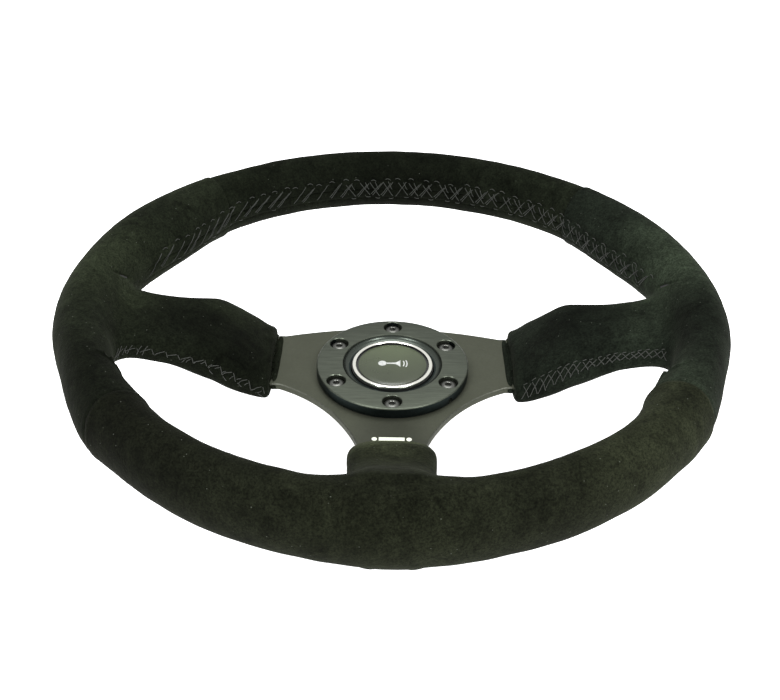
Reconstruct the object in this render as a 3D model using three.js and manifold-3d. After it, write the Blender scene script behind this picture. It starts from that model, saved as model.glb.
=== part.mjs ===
// A 350 mm three-spoke suede steering wheel with comfort grips, its hub ring and its horn button.
// Millimetres. Z = 0 is the rear face of the spoke plate at the hub, +Z points at the driver,
// +Y points at 12 o'clock and +X is to the driver's right.
import * as THREE from 'three';
import { mergeVertices } from 'three/addons/utils/BufferGeometryUtils.js';
import Module from 'manifold-3d';

const wasm = await Module();
wasm.setup();

// ---- Driving dimensions ----
const GAP = 0.3; // clearance between pieces that touch
const OVERSHOOT = 1; // how far a cutting tool runs past the face it cuts
const SIDES = { rivet: 10, screw: 12, wide: 18, contact: 24, cup: 36, ring: 48 };

// Rim: an oval section swept round the wheel.
const RIM_OUTER_RADIUS = 175;
const RIM_HALF_WIDTH = 14; // radial
const RIM_HALF_HEIGHT = 19.2; // axial
const RIM_CENTRE_Z = 45; // dish, from the plate's rear face
const RIM_CENTRE_RADIUS = RIM_OUTER_RADIUS - RIM_HALF_WIDTH;
const TOP_THINNING = 0.9; // the 12 o'clock panel is this much slimmer than the grips
const TOP_PANEL_START = 45; // degrees above the horizontal
const THUMB_REST = { height: 8.4, angle: 31, spread: 13 }; // on both sides, above the side arms
// Fuller and slimmer stretches of the rim, by the angle from 3 o'clock.
const LEFT_GRIP = { width: 1.6, height: 1, angle: 158, spread: 24 };
const WAISTS = [
  { height: 1.5, angle: 202, spread: 7 },
  { height: 2.4, angle: 339, spread: 8 },
];
const INNER_CUFFS = [
  { height: 2.4, angle: 218, spread: 8 },
  { height: 4.4, angle: 328, spread: 8 },
];
const UNDERSIDE = { height: 2, angle: 270, spread: 10 };
const RIM_STEPS = 48;
const RIM_SIDES = 12;

// Seams between the suede panels, anticlockwise from 3 o'clock, in degrees.
const SEAM = { upperRight: 44.5, upperLeft: 134, lowerLeft: 219, lowerRight: 327 };
const SUEDE_THICKNESS = 1.2;

// Spoke plate and its three arms.
const PLATE_THICKNESS = 4;
const PLATE_TOP_Y = 42.5;
// Handles of the plate's edge curves: the shoulders above the side arms, then the hollows between
// the side arms and the lower arm.
const SHOULDER = { x: 42, rise: 5.5, topX: 26, straight: 4 };
const HOLLOW = { side: [38, -26], lower: [24, -45] };
const SHIFT_START = 65; // from the wheel's axis, where the arms are shifted sideways in full
const FLAT_END = 66; // from the wheel's axis, where the arms start to rise
const ARM_BENDS = { first: 70, second: 96, third: 148, round: 4 };
const ARM_SLOPES = { steep: 38, shallow: 13 }; // degrees
const ARM_END = 169;
const PADDING_START = 70;
const SLEEVE_END = 158;
// A sleeve's end: its distance from the wheel's axis, the hem's size round the plate, and the swelling.
const SIDE_HEM = { start: 63, overhang: 1.4, halfHeight: 3.7, swell: { start: 66.2, length: 3.6 } };
const LOWER_HEM = { start: 65.5, overhang: 1.7, halfHeight: 4.2, swell: { start: 65.6, length: 7 } };
const SLEEVE = {
  halfHeight: 9.9,
  filling: { height: 4.8, at: 91, spread: 17 }, // foam under the side arms' bend
  slimming: { start: 100, length: 20, side: 3.5, lower: 0.7 },
  flare: { start: 132, length: 15, width: 9 },
  tuck: { start: 142, length: 16, depth: 2 },
  squareness: 0.72, // 1 is an ellipse
  sides: 12,
};

// Steel hoop inside the foam and its rivets.
const HOOP = { inner: 153, outer: 169, thickness: 4 };
const RIVET = { shank: 2.5, head: 4.2, headHeight: 1.7, offset: 8 };

// Hub: screw circle, ring and screws.
const SCREW_COUNT = 6;
const SCREW_CIRCLE_RADIUS = 35;
const SCREW_HOLE_RADIUS = 2.7;
const RING = { outer: 42, height: 6, edge: 1, edgeRound: 0.3, lip: 27.2, neck: 23.3, bevelDepth: 2.8 };
const COUNTERBORE = { radius: 5.2, depth: 4.2 };
const SCREW = {
  headRadius: 4.75,
  headHeight: 2.75,
  shankRadius: 2.4,
  length: 16,
  socketAcross: 3,
  socketDepth: 1.5,
  tip: 0.5,
};
const GRUB = { radius: 1.2, angle: -42, length: 8, socketRadius: 0.6, socketDepth: 1.2 };

// Horn button.
const BARREL = { outer: 26.5, inner: 24.6, lip: 23.2, bottom: -10, floor: 1.5 };
const FLANGE = { radius: 28.7, thickness: 2 };
const CAP_RADIUS = 22.7;
const TRIM = { outer: 22.3, inner: 20.1, height: 1.1, edge: 0.4 };
const INSERT = { radius: 19.4, rim: 0.4, crown: 0.9 };
const HORN_TRAVEL = 2;

const RING_BASE_Z = PLATE_THICKNESS + GAP;
const RING_TOP_Z = RING_BASE_Z + RING.height;

// ---- Materials ----
const finish = (color, roughness, metalness) =>
  new THREE.MeshStandardMaterial({ color, roughness, metalness });
const SUEDE = () => finish(0x1f2319, 0.95, 0);
const FOAM = () => finish(0x2a2a2a, 0.9, 0);
const ANODISED = () => finish(0x4a4c43, 0.45, 0.8);
const RING_BLACK = () => finish(0x3a3d38, 0.35, 0.8);
const STEEL = () => finish(0x8d8f92, 0.4, 1);
const BLACK_STEEL = () => finish(0x2c2d2c, 0.35, 1);
const CHROME = () => finish(0xe8e8e0, 0.08, 1);
const BLACK_PLASTIC = () => finish(0x161716, 0.4, 0);
const BRASS = () => finish(0xb8923f, 0.35, 1);

// ---- Solids ----
const radians = THREE.MathUtils.degToRad;
const clamp01 = (x) => THREE.MathUtils.clamp(x, 0, 1);

function solid(geometry) {
  const bare = geometry.index ? geometry.toNonIndexed() : geometry.clone();
  bare.deleteAttribute('normal');
  bare.deleteAttribute('uv');
  const merged = mergeVertices(bare, 1e-4);
  const vertProperties = merged.attributes.position.array;
  const triVerts = new Uint32Array(merged.index.array);
  return new wasm.Manifold(new wasm.Mesh({ numProp: 3, vertProperties, triVerts }));
}

function geometryOf(manifold) {
  const mesh = manifold.getMesh();
  const geometry = new THREE.BufferGeometry();
  geometry.setAttribute('position', new THREE.BufferAttribute(new Float32Array(mesh.vertProperties), 3));
  geometry.setIndex(new THREE.BufferAttribute(new Uint32Array(mesh.triVerts), 1));
  const flat = geometry.toNonIndexed();
  flat.computeVertexNormals();
  return flat;
}

const union = (parts) => parts.reduce((whole, part) => whole.add(part));
const without = (body, tools) => tools.reduce((rest, tool) => rest.subtract(tool), body);

// Skins a row of equal rings of points; the row closes on itself or gets flat ends.
function loft(rings, closesOnItself = false) {
  const sides = rings[0].length;
  const positions = rings.flat().flatMap((p) => [p.x, p.y, p.z]);
  const index = [];
  const rows = closesOnItself ? rings.length : rings.length - 1;
  for (let i = 0; i < rows; i++) {
    const here = i * sides;
    const next = ((i + 1) % rings.length) * sides;
    for (let j = 0; j < sides; j++) {
      const k = (j + 1) % sides;
      index.push(here + j, here + k, next + k, here + j, next + k, next + j);
    }
  }
  if (!closesOnItself) {
    const last = (rings.length - 1) * sides;
    for (let j = 1; j < sides - 1; j++) {
      index.push(0, j + 1, j, last, last + j, last + j + 1);
    }
  }
  const geometry = new THREE.BufferGeometry();
  geometry.setAttribute('position', new THREE.Float32BufferAttribute(positions, 3));
  geometry.setIndex(index);
  return facingOut(geometry);
}

// Turns the faces round if they point inwards.
function facingOut(geometry) {
  const flat = geometry.index ? geometry.toNonIndexed() : geometry;
  const p = flat.attributes.position;
  const [a, b, c] = [new THREE.Vector3(), new THREE.Vector3(), new THREE.Vector3()];
  let volume = 0;
  for (let i = 0; i < p.count; i += 3) {
    a.fromBufferAttribute(p, i);
    b.fromBufferAttribute(p, i + 1);
    c.fromBufferAttribute(p, i + 2);
    volume += a.dot(b.cross(c));
  }
  if (volume < 0) {
    for (let i = 0; i < p.count; i += 3) {
      b.fromBufferAttribute(p, i + 1);
      c.fromBufferAttribute(p, i + 2);
      p.setXYZ(i + 1, c.x, c.y, c.z);
      p.setXYZ(i + 2, b.x, b.y, b.z);
    }
  }
  return flat;
}

// Turns a [radius, height] outline about the Z axis.
function lathe(outline, segments) {
  const points = outline.map(([r, z]) => new THREE.Vector2(r, z));
  const geometry = new THREE.LatheGeometry(points, segments);
  geometry.rotateX(Math.PI / 2);
  return facingOut(geometry);
}

// A ring of rectangular section about the Z axis.
function washer(inner, outer, bottom, top, segments) {
  const outline = [
    [inner, bottom],
    [outer, bottom],
    [outer, top],
    [inner, top],
    [inner, bottom],
  ];
  return lathe(outline, segments);
}

function disc(radius, bottom, top, segments) {
  const geometry = new THREE.CylinderGeometry(radius, radius, top - bottom, segments);
  geometry.rotateX(Math.PI / 2);
  geometry.translate(0, 0, (top + bottom) / 2);
  return geometry;
}

function block(width, depth, height, x, y, z) {
  return new THREE.BoxGeometry(width, depth, height).translate(x, y, z);
}

const onCircle = (radius, degrees, z) =>
  new THREE.Vector3(radius * Math.cos(radians(degrees)), radius * Math.sin(radians(degrees)), z);

// ---- The wheel as an assembly ----
const wheel = new THREE.Group();

function addPart(name, geometry, material) {
  const mesh = new THREE.Mesh(geometry, material);
  mesh.name = name;
  wheel.add(mesh);
  return mesh;
}

// ---- Rim ----
// Angle above (+) or below (-) the horizontal, the same on the left and the right.
const foldedAngle = (degrees) => THREE.MathUtils.radToDeg(Math.asin(Math.sin(radians(degrees))));
const bump = (x, spread) => Math.exp(-((x / spread) ** 2));
const swell = ({ height, angle, spread }, degrees) => height * bump(degrees - angle, spread);
const swells = (list, degrees) => list.reduce((total, one) => total + swell(one, degrees), 0);

// The rim's oval section at an angle, drawn in by an inset all round.
function rimRing(degrees, inset) {
  const folded = foldedAngle(degrees);
  const thinning = TOP_THINNING * clamp01(folded - TOP_PANEL_START);
  const width = RIM_HALF_WIDTH - thinning - inset;
  const leftGrip = bump(degrees - LEFT_GRIP.angle, LEFT_GRIP.spread);
  const inner = width + swell(THUMB_REST, folded) + swells(INNER_CUFFS, degrees);
  const outer = width + LEFT_GRIP.width * leftGrip - swells(WAISTS, degrees);
  const above = RIM_HALF_HEIGHT - thinning - inset + LEFT_GRIP.height * leftGrip;
  const below = above + swell(UNDERSIDE, degrees);
  const ring = [];
  for (let j = 0; j < RIM_SIDES; j++) {
    const turn = (2 * Math.PI * j) / RIM_SIDES;
    const radius = RIM_CENTRE_RADIUS + (Math.cos(turn) < 0 ? inner : outer) * Math.cos(turn);
    const z = RIM_CENTRE_Z + (Math.sin(turn) < 0 ? below : above) * Math.sin(turn);
    ring.push(onCircle(radius, degrees, z));
  }
  return ring;
}

function rimBody(inset) {
  const rings = [];
  for (let i = 0; i < RIM_STEPS; i++) {
    rings.push(rimRing((360 * i) / RIM_STEPS, inset));
  }
  return solid(loft(rings, true));
}

// ---- Arms ----
// An arm's own frame: s runs outwards from the wheel's axis, t across it.
const ARMS = {
  right: {
    place: (s, t, z) => new THREE.Vector3(s, t, z),
    shift: 7.5,
    plate: 23.5,
    sleeve: 28.6,
    hem: SIDE_HEM,
  },
  left: {
    place: (s, t, z) => new THREE.Vector3(-s, t, z),
    shift: 7.5,
    plate: 23.5,
    sleeve: 28.6,
    hem: SIDE_HEM,
  },
  lower: {
    place: (s, t, z) => new THREE.Vector3(t, -s, z),
    shift: 0,
    plate: 18,
    sleeve: 21,
    hem: LOWER_HEM,
  },
};
const PAD_HALF_WIDTH = 13.5;
const ROOT_INSET = 0.3; // keeps an arm's root inside the flat plate it starts from

// A bend as a parabola: flat before it, a straight slope after it.
function bend(distance) {
  const round = ARM_BENDS.round;
  if (distance < -round) return 0;
  if (distance > round) return distance;
  return (distance + round) ** 2 / (4 * round);
}

// Height of the plate's middle surface along an arm.
function armHeight(s) {
  const steep = Math.tan(radians(ARM_SLOPES.steep));
  const shallow = Math.tan(radians(ARM_SLOPES.shallow));
  const rise = steep * bend(s - ARM_BENDS.first);
  const easing = (steep - shallow) * bend(s - ARM_BENDS.second);
  const levelling = shallow * bend(s - ARM_BENDS.third);
  return PLATE_THICKNESS / 2 + rise - easing - levelling;
}
const PAD_TOP_Z = armHeight(ARM_END) + PLATE_THICKNESS / 2;

const sidewaysShift = (arm, s) => arm.shift * (1 - 0.0125 * (s - SHIFT_START));

// The bare arm, from the flat plate to the pad that carries the hoop. A root inset draws its first
// rings in, so that they start inside the flat plate.
function armBody(arm, grow, rootInset = 0) {
  const stations = [FLAT_END - 6, FLAT_END + 0.2, 67, 69, 71, 74, 85, 92, 96, 100, 124, 144, 152, ARM_END];
  const rings = stations.map((s) => {
    const taper = clamp01((s - FLAT_END) / (ARM_BENDS.third - FLAT_END));
    const margin = s < FLAT_END + 0.5 ? grow - rootInset : grow;
    const halfWidth = arm.plate + (PAD_HALF_WIDTH - arm.plate) * taper + margin;
    const slope = armHeight(s + 0.5) - armHeight(s - 0.5);
    const length = Math.hypot(1, slope);
    const half = PLATE_THICKNESS / 2 + margin;
    const corners = [
      [-halfWidth, -half],
      [halfWidth, -half],
      [halfWidth, half],
      [-halfWidth, half],
    ];
    const shift = sidewaysShift(arm, s);
    const height = armHeight(s);
    return corners.map(([t, n]) => arm.place(s - (n * slope) / length, shift + t, height + n / length));
  });
  return solid(loft(rings));
}

// How far s has gone along a stretch, from 0 to 1.
const along = (s, { start, length }) => clamp01((s - start) / length);

// The padded sleeve round an arm: a rounded oblong section that swells, then flares into the rim.
function sleeveBody(arm, start, inset) {
  const { hem } = arm;
  const stations = [start, 66.4, 67.3, 69.8, 76, 82, 94, 106, 120, 134, 143, 150, SLEEVE_END];
  const rings = stations.filter((s) => s >= start).map((s) => {
    const swelling = along(s, hem.swell) ** 0.5;
    const mostSlimming = arm.shift > 0 ? SLEEVE.slimming.side : SLEEVE.slimming.lower;
    const slimming = mostSlimming * along(s, SLEEVE.slimming);
    const flare = SLEEVE.flare.width * along(s, SLEEVE.flare) ** 2;
    const hemWidth = arm.plate + hem.overhang;
    const halfWidth = hemWidth + (arm.sleeve - hemWidth) * swelling - slimming + flare - inset;
    const tuck = SLEEVE.tuck.depth * along(s, SLEEVE.tuck);
    const above = hem.halfHeight + (SLEEVE.halfHeight - hem.halfHeight) * swelling - tuck - inset;
    const filling = SLEEVE.filling.height * bump(s - SLEEVE.filling.at, SLEEVE.filling.spread);
    const below = above + (arm.shift > 0 ? filling * swelling : 0);
    const middle = armHeight(s) + swelling;
    const shift = sidewaysShift(arm, s);
    const ring = [];
    for (let j = 0; j < SLEEVE.sides; j++) {
      const turn = (2 * Math.PI * (j + 0.5)) / SLEEVE.sides;
      const across = Math.sign(Math.cos(turn)) * Math.abs(Math.cos(turn)) ** SLEEVE.squareness;
      const up = Math.sign(Math.sin(turn)) * Math.abs(Math.sin(turn)) ** SLEEVE.squareness;
      ring.push(arm.place(s, shift + halfWidth * across, middle + (up < 0 ? below : above) * up));
    }
    return ring;
  });
  return solid(loft(rings));
}

const arms = Object.values(ARMS);

// ---- Spoke plate ----
function plateOutline() {
  const outline = new THREE.Shape();
  const straight = FLAT_END - SHOULDER.straight;
  const topY = ARMS.right.shift + ARMS.right.plate;
  const bottomY = ARMS.right.shift - ARMS.right.plate;
  const shoulderY = topY + SHOULDER.rise;
  const neck = ARMS.lower.plate;
  const [sideX, sideY] = HOLLOW.side;
  const [lowerX, lowerY] = HOLLOW.lower;
  outline.moveTo(-FLAT_END, topY);
  outline.lineTo(-straight, topY);
  outline.bezierCurveTo(-SHOULDER.x, shoulderY, -SHOULDER.topX, PLATE_TOP_Y, 0, PLATE_TOP_Y);
  outline.bezierCurveTo(SHOULDER.topX, PLATE_TOP_Y, SHOULDER.x, shoulderY, straight, topY);
  outline.lineTo(FLAT_END, topY);
  outline.lineTo(FLAT_END, bottomY);
  outline.lineTo(straight, bottomY);
  outline.bezierCurveTo(sideX, sideY, lowerX, lowerY, neck, -straight);
  outline.lineTo(neck, -FLAT_END);
  outline.lineTo(-neck, -FLAT_END);
  outline.lineTo(-neck, -straight);
  outline.bezierCurveTo(-lowerX, lowerY, -sideX, sideY, -straight, bottomY);
  outline.lineTo(-FLAT_END, bottomY);
  outline.closePath();
  return outline;
}

const screwAngles = Array.from({ length: SCREW_COUNT }, (_, i) => 90 - (360 / SCREW_COUNT) * i);

// The tool for a round hole from one face to another.
function bore(radius, bottom, top, centre, segments) {
  const tool = disc(radius, bottom - OVERSHOOT, top + OVERSHOOT, segments);
  return solid(tool.translate(centre.x, centre.y, 0));
}

function rivetPlaces() {
  const places = [];
  const middle = (HOOP.inner + HOOP.outer) / 2;
  for (const arm of arms) {
    for (const side of [-1, 1]) {
      places.push(arm.place(middle, sidewaysShift(arm, middle) + side * RIVET.offset, 0));
    }
  }
  return places;
}

function buildSpokePlate() {
  const flat = new THREE.ExtrudeGeometry(plateOutline(), {
    depth: PLATE_THICKNESS,
    bevelEnabled: false,
    curveSegments: 10,
  });
  const blank = union([solid(flat), ...arms.map((arm) => armBody(arm, 0, ROOT_INSET))]);
  const screwHoles = screwAngles.map((angle) =>
    bore(SCREW_HOLE_RADIUS, 0, PLATE_THICKNESS, onCircle(SCREW_CIRCLE_RADIUS, angle, 0), SIDES.screw),
  );
  const rivetHoles = rivetPlaces().map((place) =>
    bore(RIVET.shank + GAP, PAD_TOP_Z - PLATE_THICKNESS, PAD_TOP_Z, place, SIDES.rivet),
  );
  const centre = bore(BARREL.outer + GAP, 0, PLATE_THICKNESS, onCircle(0, 0, 0), SIDES.ring);
  addPart('spoke_plate', geometryOf(without(blank, [centre, ...screwHoles, ...rivetHoles])), ANODISED());
}

// ---- Hoop and rivets ----
const HOOP_BOTTOM_Z = PAD_TOP_Z + GAP;
const HOOP_TOP_Z = HOOP_BOTTOM_Z + HOOP.thickness;

function buildHoop() {
  const band = solid(washer(HOOP.inner, HOOP.outer, HOOP_BOTTOM_Z, HOOP_TOP_Z, RIM_STEPS));
  const holes = rivetPlaces().map((place) =>
    bore(RIVET.shank + GAP, HOOP_BOTTOM_Z, HOOP_TOP_Z, place, SIDES.rivet),
  );
  addPart('rim_hoop', geometryOf(without(band, holes)), STEEL());
}

function rivetOutline(grow) {
  const bottom = PAD_TOP_Z - PLATE_THICKNESS - GAP;
  const top = HOOP_TOP_Z + GAP;
  return [
    [0, bottom - RIVET.headHeight - grow],
    [RIVET.head - 1 + grow, bottom - RIVET.headHeight - grow],
    [RIVET.head + grow, bottom + grow],
    [RIVET.shank, bottom + grow],
    [RIVET.shank, top - grow],
    [RIVET.head + grow, top - grow],
    [RIVET.head - 1 + grow, top + RIVET.headHeight + grow],
    [0, top + RIVET.headHeight + grow],
  ];
}

function buildRivets() {
  rivetPlaces().forEach((place, i) => {
    const rivet = addPart(`hoop_rivet_${i + 1}`, lathe(rivetOutline(0), SIDES.rivet), STEEL());
    rivet.position.copy(place);
  });
}

// ---- Foam and suede ----
function buildFoam() {
  const inset = SUEDE_THICKNESS + GAP;
  const paddings = arms.map((arm) => sleeveBody(arm, PADDING_START + GAP, inset));
  const moulding = union([rimBody(inset), ...paddings]);
  const skeleton = arms.map((arm) => armBody(arm, GAP));
  const hoopRadii = [HOOP.inner - GAP, HOOP.outer + GAP];
  skeleton.push(solid(washer(...hoopRadii, HOOP_BOTTOM_Z - GAP, HOOP_TOP_Z + GAP, RIM_STEPS)));
  for (const place of rivetPlaces()) {
    skeleton.push(solid(lathe(rivetOutline(GAP), SIDES.rivet).translate(place.x, place.y, 0)));
  }
  addPart('rim_foam', geometryOf(without(moulding, skeleton)), FOAM());
}

// A wedge of space between two seam angles, with half of the seam's gap taken off each side.
function seamWedge(from, to) {
  const halfGap = THREE.MathUtils.radToDeg(GAP / 2 / (RIM_CENTRE_RADIUS - 20));
  const reach = 2 * RIM_OUTER_RADIUS;
  const depth = 120;
  const shape = new THREE.Shape();
  shape.moveTo(0, 0);
  const steps = 4;
  for (let i = 0; i <= steps; i++) {
    const edge = onCircle(reach, from + halfGap + ((to - from - 2 * halfGap) * i) / steps, 0);
    shape.lineTo(edge.x, edge.y);
  }
  shape.closePath();
  const wedge = new THREE.ExtrudeGeometry(shape, { depth, bevelEnabled: false });
  return solid(wedge.translate(0, 0, RIM_CENTRE_Z - depth / 2));
}

function buildSuede() {
  const sleeves = arms.map((arm) => sleeveBody(arm, arm.hem.start, 0));
  const outside = union([rimBody(0), ...sleeves]);
  const paddings = arms.map((arm) => sleeveBody(arm, PADDING_START, SUEDE_THICKNESS));
  const inside = union([rimBody(SUEDE_THICKNESS), ...paddings]);
  const skin = without(outside, [inside, ...arms.map((arm) => armBody(arm, GAP))]);
  const panels = {
    top_wrap: [SEAM.upperRight, SEAM.upperLeft],
    left_grip_wrap: [SEAM.upperLeft, SEAM.lowerLeft],
    bottom_wrap: [SEAM.lowerLeft, SEAM.lowerRight],
    right_grip_wrap: [SEAM.lowerRight - 360, SEAM.upperRight],
  };
  for (const [name, [from, to]] of Object.entries(panels)) {
    addPart(name, geometryOf(skin.intersect(seamWedge(from, to))), SUEDE());
  }
}

// ---- Hub ring and screws ----
const COUNTERBORE_FLOOR_Z = RING_TOP_Z - COUNTERBORE.depth;

function buildRing() {
  const recess = RING_BASE_Z + FLANGE.thickness + GAP;
  const outline = [
    [FLANGE.radius + GAP, RING_BASE_Z],
    [RING.outer, RING_BASE_Z],
    [RING.outer, RING_TOP_Z - RING.edge],
    [RING.outer - RING.edgeRound, RING_TOP_Z - RING.edgeRound],
    [RING.outer - RING.edge, RING_TOP_Z],
  ];
  const bevelSteps = 4;
  for (let i = 0; i <= bevelSteps; i++) {
    const turn = (Math.PI / 2) * (i / bevelSteps);
    const r = RING.neck + (RING.lip - RING.neck) * Math.cos(turn);
    outline.push([r, RING_TOP_Z - RING.bevelDepth * Math.sin(turn)]);
  }
  outline.push([RING.neck, recess], [FLANGE.radius + GAP, recess], [FLANGE.radius + GAP, RING_BASE_Z]);
  const tools = [];
  for (const angle of screwAngles) {
    const centre = onCircle(SCREW_CIRCLE_RADIUS, angle, 0);
    const sink = disc(COUNTERBORE.radius, COUNTERBORE_FLOOR_Z, RING_TOP_Z + OVERSHOOT, SIDES.wide);
    tools.push(bore(SCREW_HOLE_RADIUS, RING_BASE_Z, RING_TOP_Z, centre, SIDES.screw));
    tools.push(solid(sink.translate(centre.x, centre.y, 0)));
  }
  tools.push(solid(grubRod(GRUB.radius + GAP, FLANGE.radius - OVERSHOOT, RING.outer + OVERSHOOT)));
  addPart('horn_ring', geometryOf(without(solid(lathe(outline, SIDES.ring)), tools)), RING_BLACK());
}

const GRUB_Z = RING_BASE_Z + 1.75;

// A radial rod at the locking screw's place.
function grubRod(radius, from, to) {
  const rod = new THREE.CylinderGeometry(radius, radius, to - from, SIDES.rivet);
  rod.rotateZ(Math.PI / 2);
  rod.translate((from + to) / 2, 0, GRUB_Z);
  return rod.rotateZ(radians(GRUB.angle));
}

function buildGrubScrew() {
  const from = FLANGE.radius + GAP;
  const body = solid(grubRod(GRUB.radius, from, from + GRUB.length));
  const end = from + GRUB.length;
  const socket = solid(grubRod(GRUB.socketRadius, end - GRUB.socketDepth, end + OVERSHOOT));
  addPart('grub_screw', geometryOf(body.subtract(socket)), BLACK_STEEL());
}

function screwOutline() {
  const seat = COUNTERBORE_FLOOR_Z + GAP;
  const crown = seat + SCREW.headHeight;
  return [
    [0, seat - SCREW.length],
    [SCREW.shankRadius - SCREW.tip, seat - SCREW.length],
    [SCREW.shankRadius, seat - SCREW.length + SCREW.tip],
    [SCREW.shankRadius, seat],
    [SCREW.headRadius, seat],
    [SCREW.headRadius, seat + 0.5],
    [SCREW.headRadius * 0.82, seat + 0.72 * SCREW.headHeight],
    [SCREW.headRadius * 0.5, crown],
    [0, crown],
  ];
}

function buildScrews() {
  const crown = COUNTERBORE_FLOOR_Z + GAP + SCREW.headHeight;
  const socketRadius = SCREW.socketAcross / Math.sqrt(3);
  const socket = solid(disc(socketRadius, crown - SCREW.socketDepth, crown + OVERSHOOT, 6));
  const screw = geometryOf(solid(lathe(screwOutline(), SIDES.screw)).subtract(socket));
  screwAngles.forEach((angle, i) => {
    const mesh = addPart(`hub_screw_${i + 1}`, screw, BLACK_STEEL());
    mesh.position.copy(onCircle(SCREW_CIRCLE_RADIUS, angle, 0));
  });
}

// ---- Horn button ----
const FLANGE_TOP_Z = RING_BASE_Z + FLANGE.thickness;
const FLOOR_TOP_Z = BARREL.bottom + BARREL.floor;
const HOOK_TOP_Z = RING_BASE_Z - 1.6;
const CAP_SHELF_Z = RING_TOP_Z - 0.5 - TRIM.height - GAP;
const CAP_BOTTOM_Z = 0.5;
const CONTACT = { inner: 8, outer: 12, thickness: 0.8 };
const CONTACT_PLATE_Z = FLOOR_TOP_Z + GAP + CONTACT.thickness + HORN_TRAVEL + GAP;
const SPRING = { radius: 5, wire: 0.5, turns: 5 };
const HOT_PIN = { x: 10, radius: 1.2, head: 2, headHeight: 0.6 };
const SEAT = {
  stem: 1.2,
  head: 2,
  headHeight: 0.8,
  radius: 6.5,
  thickness: 0.6,
  domeFoot: 3.2,
  dome: 2.8,
  domeHeight: 2,
};
const TERMINAL = { width: 6.3, depth: 7, thickness: 0.8, length: 8, offset: 1.2 };
const CAP = { wall: 2, catchDepth: 1.4, ceiling: 2.2, hookWidth: 7, hookAngles: [90, 210, 330] };

// The fixed cup that hangs in the plate's bore, clamped by its flange under the ring.
function buildHousing() {
  const outline = [
    [0, BARREL.bottom],
    [BARREL.outer, BARREL.bottom],
    [BARREL.outer, RING_BASE_Z],
    [FLANGE.radius, RING_BASE_Z],
    [FLANGE.radius, FLANGE_TOP_Z],
    [BARREL.lip, FLANGE_TOP_Z],
    [BARREL.lip, HOOK_TOP_Z + GAP],
    [BARREL.inner, HOOK_TOP_Z + GAP],
    [BARREL.inner, FLOOR_TOP_Z],
    [0, FLOOR_TOP_Z],
  ];
  const cup = solid(lathe(outline, SIDES.cup));
  const holes = [
    bore(SEAT.stem + GAP, BARREL.bottom, FLOOR_TOP_Z, onCircle(0, 0, 0), SIDES.screw),
    bore(HOT_PIN.radius + GAP, BARREL.bottom, FLOOR_TOP_Z, onCircle(HOT_PIN.x, 0, 0), SIDES.screw),
  ];
  addPart('horn_housing', geometryOf(without(cup, holes)), BLACK_PLASTIC());
}

// The pressed cap: a disc with a skirt, three hooks that catch under the housing's lip, and a boss.
function buildCap() {
  const { wall, catchDepth, hookWidth } = CAP;
  const ceiling = CAP_SHELF_Z - CAP.ceiling;
  const bossOuter = CONTACT.outer - 1;
  const bossInner = CONTACT.inner - 0.2;
  const outline = [
    [0, CAP_SHELF_Z],
    [CAP_RADIUS, CAP_SHELF_Z],
    [CAP_RADIUS, CAP_BOTTOM_Z],
    [CAP_RADIUS - wall, CAP_BOTTOM_Z],
    [CAP_RADIUS - wall, ceiling],
    [bossOuter, ceiling],
    [bossOuter, CONTACT_PLATE_Z + CONTACT.thickness + GAP],
    [bossInner, CONTACT_PLATE_Z + CONTACT.thickness + GAP],
    [bossInner, ceiling],
    [0, ceiling],
  ];
  const pieces = [solid(lathe(outline, SIDES.cup))];
  for (const angle of CAP.hookAngles) {
    const hookX = CAP_RADIUS + (catchDepth - wall) / 2;
    const hook = block(wall + catchDepth, hookWidth, HOOK_TOP_Z - CAP_BOTTOM_Z, hookX, 0, 0);
    hook.translate(0, 0, (HOOK_TOP_Z + CAP_BOTTOM_Z) / 2);
    pieces.push(solid(hook.rotateZ(radians(angle))));
  }
  addPart('horn_cap', geometryOf(union(pieces)), BLACK_PLASTIC());
}

function buildTrim() {
  const bottom = CAP_SHELF_Z + GAP;
  const top = bottom + TRIM.height;
  const outline = [
    [TRIM.inner, bottom],
    [TRIM.outer, bottom],
    [TRIM.outer, top - TRIM.edge],
    [TRIM.outer - TRIM.edge, top],
    [TRIM.inner + TRIM.edge, top],
    [TRIM.inner, top - TRIM.edge],
    [TRIM.inner, bottom],
  ];
  addPart('chrome_trim_ring', lathe(outline, SIDES.ring), CHROME());

  const rise = INSERT.crown - INSERT.rim;
  const dome = [
    [0, bottom],
    [INSERT.radius, bottom],
    ...[1, 0.7, 0.35, 0].map((r) => [INSERT.radius * r, bottom + INSERT.rim + rise * (1 - r * r)]),
  ];
  addPart('cap_insert', lathe(dome, SIDES.cup), BLACK_PLASTIC());
}

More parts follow.
